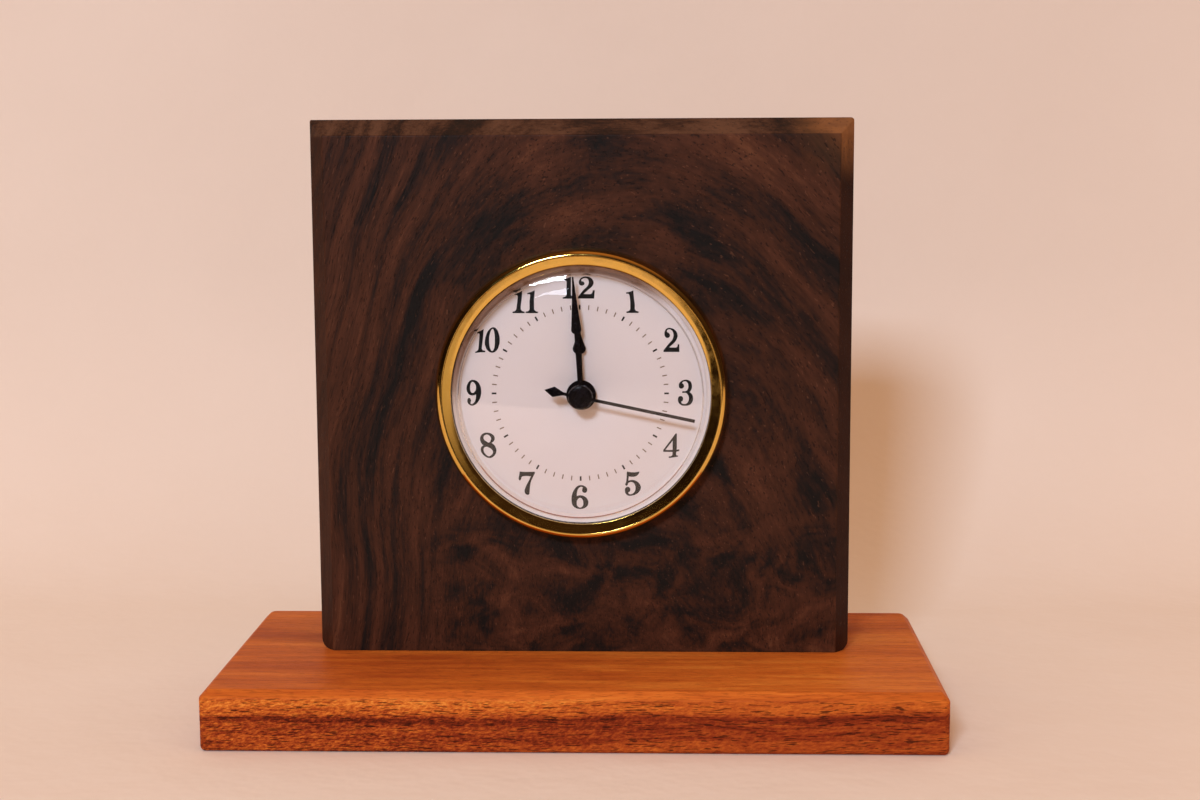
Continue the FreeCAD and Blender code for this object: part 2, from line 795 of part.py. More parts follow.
def board_posts():
    """Two posts under opposite corners of the circuit board."""
    half_width = board_width / 2 - board_post_inset
    half_height = board_height / 2 - board_post_inset
    return [(board_x - half_width, board_z - half_height), (board_x + half_width, board_z + half_height)]


def train_bridge():
    """The rear plate, with the rear bearings, the sleeves on the pillars and the battery pocket."""
    bridge = rod(bridge_radius, bridge_front, bridge_back)
    sleeves = [rod(pillar_sleeve_radius, middle_back, bridge_front, spot) for spot in pillar_places]
    pocket = rod(pocket_radius + pocket_wall, pocket_front, bridge_front, battery_place)
    bridge = bridge.fuse(sleeves + [pocket]).removeSplitter()
    holes = [rod(pillar_sleeve_bore, middle_back - overrun, bridge_front, spot) for spot in pillar_places]
    holes += [rod(plate_screw_radius, bridge_front - overrun, bridge_back + overrun, spot)
              for spot in pillar_places]
    holes.append(rod(pocket_radius, contact_front, bridge_back + overrun, battery_place))
    for radius, spot in ((pivot_radius, third_place), (pivot_radius, fifth_place),
                         (rotor_spindle_radius, rotor_place), (seconds_arbor_radius, centre_place),
                         (setting_arbor_radius, setting_place)):
        holes.append(rod(radius + bearing_play, bridge_front - overrun, bridge_back + overrun, spot))
    slot_end = (battery_x, battery_z + pocket_radius + pocket_wall + overrun)
    holes.append(bar(contact_width, battery_place, slot_end, contact_front, battery_front))
    return bridge.cut(holes)


def plate_screw(spot):
    shank = rod(plate_screw_radius, bridge_back - plate_screw_length, bridge_back, spot)
    head = rod(plate_screw_head_radius, bridge_back, bridge_back + plate_screw_head_height, spot)
    head_back = bridge_back + plate_screw_head_height
    slot = bar(plate_screw_slot_width, (spot[0] - plate_screw_head_radius - overrun, spot[1]),
               (spot[0] + plate_screw_head_radius + overrun, spot[1]),
               head_back - plate_screw_slot_depth, head_back + overrun)
    return shank.fuse(head).removeSplitter().cut(slot)


def centre_tube():
    flange = tube(centre_tube_flange_radius, centre_tube_bore, plate_back, tube_flange_back)
    front = dial_front - dial_nut_thickness
    return flange.fuse(tube(centre_tube_radius, centre_tube_bore, front, plate_back)).removeSplitter()


def dial_nut():
    front = dial_front - dial_nut_thickness
    corners = [polar(dial_nut_radius, 360 * side / dial_nut_sides) for side in range(dial_nut_sides)]
    nut = slab(corners, front, dial_front)
    return nut.cut(rod(centre_tube_radius, front - overrun, dial_front + overrun))


# Movement: wheels. Each phase follows from the gear that it meets, starting at the centre wheel.

centre_phase = third_angle
third_pinion_phase = meshed_phase(third_pinion_teeth, third_angle, centre_wheel_teeth, centre_phase)
seconds_pinion_phase = third_angle
third_wheel_phase = meshed_phase(third_wheel_teeth, third_angle, seconds_pinion_teeth, seconds_pinion_phase)
seconds_wheel_phase = fifth_angle
fifth_pinion_phase = meshed_phase(fifth_pinion_teeth, fifth_angle, seconds_wheel_teeth, seconds_wheel_phase)
fifth_wheel_phase = rotor_angle
rotor_pinion_phase = meshed_phase(rotor_pinion_teeth, rotor_angle, fifth_wheel_teeth, fifth_wheel_phase)
cannon_phase = minute_wheel_angle
minute_wheel_phase = meshed_phase(minute_wheel_teeth, minute_wheel_angle, cannon_teeth, cannon_phase)
hour_wheel_phase = minute_wheel_angle
minute_pinion_phase = meshed_phase(minute_pinion_teeth, minute_wheel_angle, hour_wheel_teeth,
                                   hour_wheel_phase)
setting_phase = meshed_phase(setting_pinion_teeth, setting_angle, minute_wheel_teeth, minute_wheel_phase)


def hour_wheel():
    wheel = gear(hour_wheel_teeth, hour_module, hour_wheel_phase, hour_wheel_front, hour_wheel_back)
    pipe = rod(hour_pipe_radius, hour_pipe_front, hour_wheel_front)
    wheel = wheel.fuse(pipe).removeSplitter()
    return wheel.cut(rod(hour_pipe_bore, hour_pipe_front - overrun, hour_wheel_back + overrun))


def minute_wheel():
    wheel = gear(minute_wheel_teeth, motion_module, minute_wheel_phase, minute_wheel_front, minute_wheel_back,
                 minute_wheel_place)
    pinion = gear(minute_pinion_teeth, hour_module, minute_pinion_phase, plate_back + layer_gap,
                  minute_wheel_front, minute_wheel_place)
    bore = rod(wheel_stud_radius + bearing_play, plate_back, minute_wheel_back + overrun, minute_wheel_place)
    return wheel.fuse(pinion).removeSplitter().cut(bore)


def cannon_pinion():
    """The pipe that carries the minute hand, with its pinion and a seat for the centre wheel."""
    pipe = rod(minute_pipe_radius, minute_pipe_front, cannon_back)
    pinion = gear(cannon_teeth, motion_module, cannon_phase, minute_wheel_front, centre_wheel_front)
    whole = pipe.fuse(pinion).removeSplitter()
    return whole.cut(rod(minute_pipe_bore, minute_pipe_front - overrun, cannon_back + overrun))


def centre_wheel():
    wheel = gear(centre_wheel_teeth, train_module, centre_phase, centre_wheel_front, centre_wheel_back)
    return wheel.cut(rod(hour_pipe_bore, centre_wheel_front - overrun, centre_wheel_back + overrun))


def clutch_spring():
    """A fingered washer on the pipe that presses the centre wheel against the pinion."""
    spring = rod(clutch_radius - clutch_finger_width, centre_wheel_back, clutch_back)
    for number in range(clutch_fingers):
        tip = polar(clutch_radius, 360 * number / clutch_fingers)
        spring = spring.fuse(bar(clutch_finger_width, centre_place, tip, centre_wheel_back, clutch_back))
    bore = rod(minute_pipe_radius, centre_wheel_back - overrun, clutch_back + overrun)
    return spring.removeSplitter().cut(bore)


def third_wheel():
    pinion_front = centre_wheel_front - pinion_overhang
    pinion_back = centre_wheel_back + pinion_overhang
    wheel = gear(third_wheel_teeth, third_module, third_wheel_phase, third_wheel_front, third_wheel_back,
                 third_place)
    pinion = gear(third_pinion_teeth, train_module, third_pinion_phase, pinion_front, pinion_back,
                  third_place)
    hub = rod(wheel_hub_radius, pinion_back, third_wheel_front, third_place)
    arbor = rod(pivot_radius, plate_back - pivot_depth / 2, arbor_end, third_place)
    return wheel.fuse([pinion, hub, arbor]).removeSplitter()


def seconds_wheel():
    wheel = gear(seconds_wheel_teeth, train_module, seconds_wheel_phase, seconds_wheel_front,
                 seconds_wheel_back)
    pinion = gear(seconds_pinion_teeth, third_module, seconds_pinion_phase, third_wheel_front,
                  seconds_wheel_front)
    bore = rod(seconds_arbor_radius, third_wheel_front - overrun, seconds_wheel_back + overrun)
    return wheel.fuse(pinion).removeSplitter().cut(bore)


def fifth_wheel():
    wheel = gear(fifth_wheel_teeth, train_module, fifth_wheel_phase, fifth_wheel_front, fifth_wheel_back,
                 fifth_place)
    pinion = gear(fifth_pinion_teeth, train_module, fifth_pinion_phase, seconds_wheel_front - pinion_overhang,
                  fifth_wheel_front, fifth_place)
    arbor = rod(pivot_radius, middle_back - pivot_depth / 2, arbor_end, fifth_place)
    return wheel.fuse([pinion, arbor]).removeSplitter()


def rotor_pinion():
    pinion = gear(rotor_pinion_teeth, train_module, rotor_pinion_phase, fifth_wheel_front - pinion_overhang,
                  fifth_wheel_back + pinion_overhang, rotor_place)
    spindle = rod(rotor_spindle_radius, middle_back - pivot_depth / 2, arbor_end, rotor_place)
    return pinion.fuse(spindle).removeSplitter()


def setting_pinion():
    pinion = gear(setting_pinion_teeth, motion_module, setting_phase, minute_wheel_front - pinion_overhang,
                  minute_wheel_back + pinion_overhang, setting_place)
    arbor = rod(setting_arbor_radius, plate_back - pivot_depth / 2, knob_front + knob_socket_depth,
                setting_place)
    return pinion.fuse(arbor).removeSplitter()


def setting_knob():
    knob = rod(knob_radius, knob_front, knob_back, setting_place)
    for number in range(knob_flutes):
        flute = polar(knob_radius, 360 * number / knob_flutes, setting_place)
        knob = knob.cut(rod(knob_flute_radius, knob_front - overrun, knob_back + overrun, flute))
    socket = rod(setting_arbor_radius, knob_front - overrun, knob_front + knob_socket_depth, setting_place)
    pointer = bar(knob_pointer_width, setting_place, polar(knob_radius + overrun, 90, setting_place),
                  knob_back - knob_pointer_depth, knob_back + overrun)
    return knob.cut([socket, pointer])


# Movement: step motor


def stator():
    """A flat soft-iron plate with an eye round the rotor and two arms up to the coil."""
    plate = rod(stator_disc_radius, stator_front, stator_back, rotor_place)
    for spot in coil_ends:
        knee = (spot[0], rotor_place[1] + stator_arm_knee)
        end = (spot[0], coil_z + stator_arm_end)
        plate = plate.fuse([bar(stator_arm_width, rotor_place, knee, stator_front, stator_back),
                            rod(stator_arm_width / 2, stator_front, stator_back, knee),
                            bar(stator_arm_width, knee, end, stator_front, stator_back)])
    plate = plate.removeSplitter()
    plate = plate.cut(rod(stator_eye_radius, stator_front - overrun, stator_back + overrun, rotor_place))
    for spot in coil_ends:
        plate = plate.cut(rod(coil_screw_radius, stator_front - overrun, stator_back + overrun, spot))
    return plate


def coil_core():
    left = (coil_ends[0][0] - core_end, coil_z)
    right = (coil_ends[1][0] + core_end, coil_z)
    core = bar(core_width, left, right, stator_back, core_back)
    holes = [rod(coil_screw_radius, stator_back - overrun, core_back + overrun, spot) for spot in coil_ends]
    return core.cut(holes)


def coil_tube(radius, left, right):
    """A round bar along X, round the coil's core."""
    return Part.makeCylinder(radius, right - left, place((left, coil_z), coil_depth), Vector(1, 0, 0))


def coil_span():
    return coil_ends[0][0] + bobbin_end_gap, coil_ends[1][0] - bobbin_end_gap


def coil_bobbin():
    left, right = coil_span()
    bobbin = coil_tube(bobbin_radius, left, right)
    bobbin = bobbin.fuse([coil_tube(bobbin_flange_radius, left, left + bobbin_flange_thickness),
                          coil_tube(bobbin_flange_radius, right - bobbin_flange_thickness, right)])
    core_space = bar(core_width, (left - overrun, coil_z), (right + overrun, coil_z), stator_back, core_back)
    return bobbin.removeSplitter().cut(core_space)


def coil_winding():
    left, right = coil_span()
    left += bobbin_flange_thickness
    right -= bobbin_flange_thickness
    space = coil_tube(bobbin_radius, left - overrun, right + overrun)
    return coil_tube(winding_radius, left, right).cut(space)


def coil_screw(spot):
    shank = rod(coil_screw_radius, middle_front, core_back, spot)
    head = rod(coil_screw_head_radius, core_back, core_back + coil_screw_head_height, spot)
    return shank.fuse(head).removeSplitter()


# Movement: electrics


def battery():
    can = rod(battery_radius, battery_front + battery_cap_height, battery_back, battery_place)
    rim = [edge for edge in can.Edges if edge.CenterOfMass.y > face_y + battery_back - battery_cap_height
           and edge.Closed]
    can = can.makeFillet(battery_edge_radius, rim)
    return can.fuse(rod(battery_cap_radius, battery_front, battery_front + battery_cap_height,
                        battery_place)).removeSplitter()


def negative_contact():
    """A strip from under the battery up to the circuit board."""
    low = (battery_x, battery_z - contact_reach)
    high = (battery_x, board_z - board_height / 2 + contact_reach)
    return bar(contact_width, low, high, contact_front, battery_front)


def positive_contact():
    """A strip on the bridge whose upturned tab touches the side of the battery."""
    tab_x = battery_x + battery_radius
    foot_end = (tab_x + contact_foot_length, battery_z)
    foot = bar(contact_width, (tab_x + pocket_play, battery_z), foot_end, bridge_back,
               bridge_back + contact_tab_thickness)
    tab = bar(contact_width, (tab_x, battery_z), (tab_x + contact_tab_thickness + pocket_play, battery_z),
              bridge_back, bridge_back + contact_tab_height)
    return foot.fuse(tab).removeSplitter()


def circuit_board():
    left = board_x - board_width / 2
    right = board_x + board_width / 2
    low = board_z - board_height / 2
    high = board_z + board_height / 2
    return slab([(left, low), (right, low), (right, high), (left, high)], battery_front, board_back)


def control_chip():
    spot = (board_x + chip_shift, board_z)
    return Part.makeCone(chip_radius, chip_top_radius, chip_height, place(spot, board_back), BACKWARDS)


def quartz_crystal():
    """A small can that lies on the board."""
    spot = (board_x - crystal_shift - crystal_length / 2, board_z)
    start = place(spot, board_back + crystal_radius)
    return Part.makeCylinder(crystal_radius, crystal_length, start, Vector(1, 0, 0))


# All the sub-parts

os.makedirs("parts", exist_ok=True)

save("base_plinth", base_plinth())
save("case_block", case_block())
save("base_screws", Part.makeCompound([base_screw(x) for x in screw_columns()]))
save("bezel", bezel())
save("lens", lens())
save("lens_gasket", tube(ring_radius, ring_radius - gasket_width, gasket_front, dial_ring_front))
save("dial_ring", dial_ring())
save("dial", tube(dial_radius, centre_tube_radius + dial_hole_play, dial_front, dial_back))
save("insert_cup", insert_cup())
save("grip_band", tube(grip_band_radius, cup_radius, grip_band_start, grip_band_start + grip_band_width))
save("hour_hand", spade_hand(hour_hand_angle, hour_hand_back, hour_hand_hub_radius, hour_pipe_radius,
                             hour_spade_start, hour_spade_widest, hour_spade_width, hour_spade_neck,
                             hour_spade_neck_width, hour_hand_length))
save("minute_hand", spade_hand(minute_hand_angle, minute_hand_back, minute_hand_hub_radius,
                               minute_pipe_radius, minute_spade_start, minute_spade_widest,
                               minute_spade_width, minute_spade_neck, minute_spade_neck_width,
                               minute_hand_length))
save("second_hand", second_hand(second_hand_angle))
save("second_hand_cap", second_hand_cap())
save("movement_plate", movement_plate())
save("middle_plate", middle_plate())
save("train_bridge", train_bridge())
save("movement_screws", Part.makeCompound([plate_screw(spot) for spot in pillar_places]))
save("centre_tube", centre_tube())
save("dial_nut", dial_nut())
save("hour_wheel", hour_wheel())
save("minute_wheel", minute_wheel())
save("cannon_pinion", cannon_pinion())
save("centre_wheel", centre_wheel())
save("clutch_spring", clutch_spring())
save("third_wheel", third_wheel())
save("seconds_wheel", seconds_wheel())
save("seconds_arbor", rod(seconds_arbor_radius, seconds_arbor_front, arbor_end))
save("fifth_wheel", fifth_wheel())
save("rotor_pinion", rotor_pinion())
save("rotor_magnet", tube(rotor_magnet_radius, rotor_spindle_radius, rotor_magnet_front, rotor_magnet_back,
                          rotor_place))
save("stator", stator())
save("coil_core", coil_core())
save("coil_bobbin", coil_bobbin())
save("coil_winding", coil_winding())
save("coil_screws", Part.makeCompound([coil_screw(spot) for spot in coil_ends]))
save("circuit_board", circuit_board())
save("control_chip", control_chip())
save("quartz_crystal", quartz_crystal())
save("battery", battery())
save("negative_contact", negative_contact())
save("positive_contact", positive_contact())
save("battery_cover", battery_cover())
save("setting_knob", setting_knob())
save("setting_pinion", setting_pinion())
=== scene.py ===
# %% [markdown]
# # A wooden desk clock
# The clock is a dark walnut block on a lighter reddish plinth. A round quartz clock with a brass bezel
# is pressed into the block. The CAD model is the frame: it says where each piece is and how it moves.
# Here each piece that shows gets its final shape and finish. Sizes are in millimetres and are turned
# into Blender's metres by the value mm.

# %% Load the frame
import bmesh
import bpy
import json
import math
from mathutils import Matrix, Vector

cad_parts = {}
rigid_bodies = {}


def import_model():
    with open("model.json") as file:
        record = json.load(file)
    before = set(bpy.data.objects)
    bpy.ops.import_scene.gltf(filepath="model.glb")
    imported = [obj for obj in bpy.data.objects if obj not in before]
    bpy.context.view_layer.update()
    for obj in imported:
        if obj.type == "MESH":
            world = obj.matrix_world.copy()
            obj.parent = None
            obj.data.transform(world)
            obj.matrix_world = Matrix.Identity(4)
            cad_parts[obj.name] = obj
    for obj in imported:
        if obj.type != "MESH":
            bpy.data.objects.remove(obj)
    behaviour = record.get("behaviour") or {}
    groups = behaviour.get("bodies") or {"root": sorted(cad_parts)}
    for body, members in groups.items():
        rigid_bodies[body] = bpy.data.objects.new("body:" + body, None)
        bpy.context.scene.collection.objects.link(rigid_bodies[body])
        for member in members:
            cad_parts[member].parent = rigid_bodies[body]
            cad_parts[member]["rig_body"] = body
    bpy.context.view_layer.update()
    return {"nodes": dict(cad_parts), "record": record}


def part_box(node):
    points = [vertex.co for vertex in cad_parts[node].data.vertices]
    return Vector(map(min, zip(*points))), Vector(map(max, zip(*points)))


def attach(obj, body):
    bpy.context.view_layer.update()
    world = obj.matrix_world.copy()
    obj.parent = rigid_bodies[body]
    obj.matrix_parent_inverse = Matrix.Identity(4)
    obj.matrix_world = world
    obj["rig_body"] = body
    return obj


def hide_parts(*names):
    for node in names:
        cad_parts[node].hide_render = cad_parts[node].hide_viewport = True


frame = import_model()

mm = 0.001
slot_of_node = {entry["node"]: entry["material_slot"] for entry in frame["record"]["subparts"]}
print("nodes", len(frame["nodes"]), "of them with a slot", len(slot_of_node))

# %% [markdown]
# ## The camera
# A camera that stands where the photographer stood makes every later comparison easy. Its place was
# worked out from the corners of the block and the plinth: about 46 cm in front, a little to the right,
# and looking down by seven and a half degrees.

# %% The camera
camera_place = Vector((21.43, -463.16, 139.44)) * mm
yaw, pitch, roll = -0.0344, 0.1325, -0.0046
ahead = Vector((math.sin(yaw) * math.cos(pitch), math.cos(yaw) * math.cos(pitch), -math.sin(pitch)))
level = Vector((math.cos(yaw), -math.sin(yaw), 0))
upright = level.cross(ahead)
right = level * math.cos(roll) + upright * math.sin(roll)
up = upright * math.cos(roll) - level * math.sin(roll)
bpy.ops.object.camera_add()
camera = bpy.context.object
camera.matrix_world = Matrix.Translation(camera_place) @ Matrix((right, up, -ahead)).transposed().to_4x4()
camera.data.sensor_width = 36
camera.data.lens = 56.724
camera.data.clip_start = 0.01
camera.data.clip_end = 20
bpy.context.scene.camera = camera
bpy.context.scene.view_settings.view_transform = "Standard"
print("camera looks along", [round(value, 3) for value in ahead])

# %% [markdown]
# ## Places and colours
# The dial's middle and the block's face are the two places that everything else is measured from. A
# colour in a photograph is the paint's colour times the light's colour. The lamps here are warm, as in
# the photograph, so a finish is written as it was seen, and the warmth is divided out of it.

# %% Places and colours
dial_x, dial_z, face_y = 1.1, 79.7, -3.2
lamp_warmth = (1.0, 0.765, 0.70)
lamp_level = 0.95


def linear(value):
    """A screen value from 0 to 255 as an amount of light."""
    value = value / 255
    return value / 12.92 if value <= 0.04045 else ((value + 0.055) / 1.055) ** 2.4


def seen(red, green, blue):
    """The paint that looks like this screen colour under the warm lamps."""
    light = [linear(value) / (warmth * lamp_level) for value, warmth in zip((red, green, blue), lamp_warmth)]
    return (*[min(1.0, value) for value in light], 1.0)


def spot(x, z, behind):
    """A place in metres from (x, z) round the dial's middle and the depth behind the block's face."""
    return Vector((dial_x + x, face_y + behind, dial_z + z)) * mm


def depths(node):
    """How far a CAD node's front and back lie behind the block's face, in millimetres."""
    return [corner.y / mm - face_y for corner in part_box(node)]


print("white dial paint", [round(value, 2) for value in seen(229, 203, 196)])

# %% [markdown]
# ## Light and ground
# One soft lamp, a little blue, stands above and to the left of the camera. It draws the bright line on the
# brass and the soft shadows to the right. The room itself is the warm fill. A shiny ring mirrors the whole
# room, so what it mirrors is told apart from what lights the wood. Mirrored rays see a dim brown room with
# a pale table, a warm ceiling, a pale patch low on the right and a dark left, and the rest see a plain fill.

# %% Nodes by one short call
def set_inputs(tree, node, inputs):
    """Gives sockets of a node a value each, or a link to another node's socket."""
    for key, value in inputs.items():
        if isinstance(value, bpy.types.NodeSocket):
            tree.links.new(value, node.inputs[key])
        else:
            node.inputs[key].default_value = value


def add(tree, kind, inputs=None, **settings):
    """Adds a shader node with its inputs and settings."""
    node = tree.nodes.new("ShaderNode" + kind)
    for name, value in settings.items():
        setattr(node, name, value)
    set_inputs(tree, node, inputs or {})
    return node


def calc(tree, operation, first, second=0.0, third=0.0):
    """A Math node's result."""
    return add(tree, "Math", {0: first, 1: second, 2: third}, operation=operation).outputs[0]


def plus(tree, first, *others):
    """Values added together."""
    for other in others:
        first = calc(tree, "ADD", first, other)
    return first


def times(tree, first, *others):
    """Values or masks multiplied together."""
    for other in others:
        first = calc(tree, "MULTIPLY", first, other)
    return first


def swing(tree, value, amount):
    """A value from 0 to 1 made to swing about zero, by half the amount each way."""
    return times(tree, calc(tree, "SUBTRACT", value, 0.5), amount)


def slope(tree, first, second):
    """The long side of a right triangle over two short ones."""
    return calc(tree, "SQRT", plus(tree, times(tree, first, first), times(tree, second, second)))


def between(tree, value, low, high, out_low=0.0, out_high=1.0, kind="SMOOTHSTEP"):
    """Moves a value from one range to another and stops at the ends."""
    inputs = {"Value": value, "From Min": low, "From Max": high, "To Min": out_low, "To Max": out_high}
    return add(tree, "MapRange", inputs, interpolation_type=kind).outputs["Result"]


def colour_mix(tree, amount, first, second):
    """Two colours mixed by an amount."""
    return add(tree, "Mix", {0: amount, 6: first, 7: second}, data_type="RGBA").outputs[2]


def ramp(tree, value, *stops):
    """Colours along a value from 0 to 1. Each stop is (position, colour)."""
    node = add(tree, "ValToRGB", {0: value})
    while len(node.color_ramp.elements) < len(stops):
        node.color_ramp.elements.new(0.5)
    for element, (position, colour) in zip(node.color_ramp.elements, stops):
        element.position = position
        element.color = colour
    return node.outputs["Color"]


def vector(tree, x=0.0, y=0.0, z=0.0):
    """A vector from three values."""
    return add(tree, "CombineXYZ", {0: x, 1: y, 2: z}).outputs[0]


def moved(tree, place, step):
    """A place moved by a step."""
    return add(tree, "VectorMath", {0: place, 1: step}, operation="ADD").outputs[0]


def scaled(tree, value, factor):
    """A place or a colour times a number."""
    return add(tree, "VectorMath", {0: value, 3: factor}, operation="SCALE").outputs[0]


def noise(tree, place, scale=1.0, detail=2.0, roughness=0.5, distortion=0.0):
    """Cloudy noise from 0 to 1."""
    inputs = {"Vector": place, "Scale": scale, "Detail": detail, "Roughness": roughness,
              "Distortion": distortion}
    return add(tree, "TexNoise", inputs).outputs["Fac"]


def see_through(tree, amount, surface, colour=(1, 1, 1, 1)):
    """A surface that lets the view and the light straight through by an amount."""
    clear = add(tree, "BsdfTransparent", {"Color": colour})
    return add(tree, "MixShader", {0: amount, 1: surface, 2: clear.outputs[0]}).outputs[0]


# %% The key lamp
key_azimuth, key_height, key_distance = math.radians(-12.3), math.radians(27), 1.6
key_width, key_tall, key_energy = 0.28, 0.22, 14.2
toward_key = Vector((math.sin(key_azimuth) * math.cos(key_height),
                     -math.cos(key_azimuth) * math.cos(key_height), math.sin(key_height)))
bpy.ops.object.light_add(type="AREA", location=spot(0, 0, 0) + toward_key * key_distance)
key = bpy.context.object
key.name = "key_lamp"
key.rotation_mode = "QUATERNION"
key.rotation_quaternion = toward_key.to_track_quat("Z", "Y")
key.data.shape = "RECTANGLE"
key.data.size = key_width
key.data.size_y = key_tall
key.data.energy = key_energy
key.data.color = (0.73, 0.83, 1.0)
print("key lamp at", [round(value, 2) for value in key.location])

# %% The room
world = bpy.data.worlds.new("soft_room")
bpy.context.scene.world = world
world.use_nodes = True
sky = world.node_tree
sky.nodes.clear()
direction = add(sky, "SeparateXYZ", {0: add(sky, "TexCoord").outputs["Generated"]}).outputs
across, height = direction["X"], direction["Z"]
fill_tint = colour_mix(sky, height, (1.32, 0.53, 0.15, 1), (1.24, 0.74, 0.46, 1))
fill = scaled(sky, fill_tint, between(sky, height, 0.0, 1.0, 0.24, 0.75, "LINEAR"))
room = ramp(sky, calc(sky, "MULTIPLY_ADD", height, 0.5, 0.5),
            (0.0, (0.30, 0.20, 0.15, 1)), (0.40, (0.05, 0.028, 0.018, 1)),
            (0.62, (0.035, 0.018, 0.011, 1)), (0.84, (0.08, 0.045, 0.03, 1)), (1.0, (0.45, 0.20, 0.09, 1)))
pale_side = times(sky, between(sky, across, 0.03, 0.09), between(sky, across, 0.45, 0.35),
                  between(sky, height, -0.02, -0.13))
room = colour_mix(sky, pale_side, room, (0.66, 0.49, 0.38, 1))
room = scaled(sky, room, between(sky, across, -0.06, -0.16, 1.0, 0.3))
path = add(sky, "LightPath").outputs
room_seen = colour_mix(sky, path["Is Glossy Ray"], fill, room)
room_seen = colour_mix(sky, path["Is Camera Ray"], room_seen, (0.80, 0.60, 0.48, 1))
background = add(sky, "Background", {"Color": room_seen, "Strength": 1.0})
add(sky, "OutputWorld", {"Surface": background.outputs[0]})
print("room nodes", len(sky.nodes))

# %% [markdown]
# ## Working by hand, in code
# Everything below is made the way it would be made at the screen: a primitive is added, edit mode is
# opened, edges or faces are picked, and a tool is used on them. The mouse's part, picking, is done here
# by where an edge lies or which way a face looks.

# %% Picking and editing
def clear_selection():
    """Nothing selected and object mode, so that a tool acts on the new piece alone."""
    if bpy.context.mode != "OBJECT":
        bpy.ops.object.mode_set(mode="OBJECT")
    bpy.ops.object.select_all(action="DESELECT")


def choose(piece):
    """Makes one piece the only selected and the active one."""
    clear_selection()
    piece.select_set(True)
    bpy.context.view_layer.objects.active = piece


def edit(piece, mode="EDGE"):
    """Opens edit mode on one piece with nothing picked."""
    choose(piece)
    bpy.ops.object.mode_set(mode="EDIT")
    bpy.ops.mesh.select_mode(type=mode)
    bpy.ops.mesh.select_all(action="DESELECT")


def pick(piece, kind, test):
    """Picks only the vertices, edges or faces (kind) whose middle passes a test. Returns how many."""
    bpy.ops.mesh.select_all(action="DESELECT")
    mesh = bmesh.from_edit_mesh(piece.data)
    picked = 0
    for element in getattr(mesh, kind):
        corners = [element.co] if kind == "verts" else [vert.co for vert in element.verts]
        if test(sum(corners, Vector()) / len(corners) / mm, corners):
            element.select_set(True)
            picked += 1
    mesh.select_flush_mode()
    bmesh.update_edit_mesh(piece.data)
    return picked


def runs_along(corners, axis):
    """Whether an edge runs along axis 0, 1 or 2."""
    run = corners[1] - corners[0]
    return abs(run[axis]) > 0.99 * run.length


def pick_all():
    """Picks all of the piece that is open in edit mode."""
    bpy.ops.mesh.select_all(action="SELECT")


def bevel_edges(piece, width, segments, test):
    """Bevels the edges that pass a test, by a width in millimetres."""
    pick(piece, "edges", test)
    bpy.ops.mesh.bevel(offset=width * mm, segments=segments, affect="EDGES")


def apply_place():
    """Writes the place, turn and scale of the selected piece into its mesh."""
    bpy.ops.object.transform_apply(location=True, rotation=True, scale=True)


def new_box(name, low, high):
    """A box from its lowest to its highest corner in millimetres, with its place in its mesh."""
    clear_selection()
    low, high = Vector(low), Vector(high)
    bpy.ops.mesh.primitive_cube_add(size=1, location=(low + high) / 2 * mm, scale=(high - low) * mm)
    piece = bpy.context.object
    piece.name = name
    apply_place()
    return piece


def use_modifier(piece, kind, **settings):
    """Adds a modifier, sets it and applies it."""
    choose(piece)
    modifier = piece.modifiers.new(kind.lower(), kind)
    for name, value in settings.items():
        setattr(modifier, name, value)
    bpy.ops.object.modifier_apply(modifier=modifier.name)


def smooth(piece, degrees=35):
    """Smooth shading that keeps the edges sharper than an angle."""
    choose(piece)
    bpy.ops.object.shade_smooth_by_angle(angle=math.radians(degrees))


def ease(piece, width):
    """Softens the sharp edges by a width in millimetres, so that each catches a line of light."""
    use_modifier(piece, "BEVEL", width=width * mm, segments=2, limit_method="ANGLE",
                 angle_limit=math.radians(25))
    smooth(piece, 30)
    use_modifier(piece, "WEIGHTED_NORMAL", keep_sharp=True)


def finish_with(piece, material):
    """Gives a piece one material."""
    piece.data.materials.clear()
    piece.data.materials.append(material)


def stand_in(piece, material, node):
    """The piece gets its finish and the body of a CAD node, whose own mesh is hidden."""
    finish_with(piece, material)
    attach(piece, frame["nodes"][node]["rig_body"])
    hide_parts(node)
    low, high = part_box(node)
    corners = [corner.co for corner in piece.data.vertices]
    reach = [max(max(corner[axis] for corner in corners) - high[axis],
                 low[axis] - min(corner[axis] for corner in corners)) for axis in range(3)]
    print(piece.name, "faces", len(piece.data.polygons), "past its node by mm",
          [round(value / mm, 2) for value in reach])


# %% [markdown]
# ## The table and the cloth behind it
# A pale cloth lies under the clock and hangs a hand's breadth behind it. It catches the block's soft
# shadow. A sheet with one rounded fold does that. From behind it is see-through, so that the
# clock's back can be looked at.

# %% The cloth
clear_selection()
cloth_size, cloth_rise, fold_radius = (2.4, 0.65, 1), 0.9, 100
bpy.ops.mesh.primitive_plane_add(size=1, location=(0, -0.125, 0))
cloth = bpy.context.object
cloth.name = "cloth"
cloth.scale = cloth_size
apply_place()
edit(cloth)
pick(cloth, "edges", lambda middle, corners: middle.y > 100)
bpy.ops.mesh.extrude_region_move(TRANSFORM_OT_translate={"value": (0, 0, cloth_rise)})
bevel_edges(cloth, fold_radius, 16, lambda middle, corners: middle.y > 100 and abs(middle.z) < 1)
smooth(cloth, 60)
cloth_finish = bpy.data.materials.new("pale_cloth")
cloth_finish.use_nodes = True
tree = cloth_finish.node_tree
shader = tree.nodes["Principled BSDF"]
where = add(tree, "TexCoord").outputs["Object"]
bump = add(tree, "Bump", {"Height": noise(tree, where, 14.0, 5.0, 0.6), "Strength": 0.10, "Distance": 0.02})
pale = colour_mix(tree, noise(tree, where, 9.0, 3.0), seen(230, 197, 179), seen(238, 206, 189))
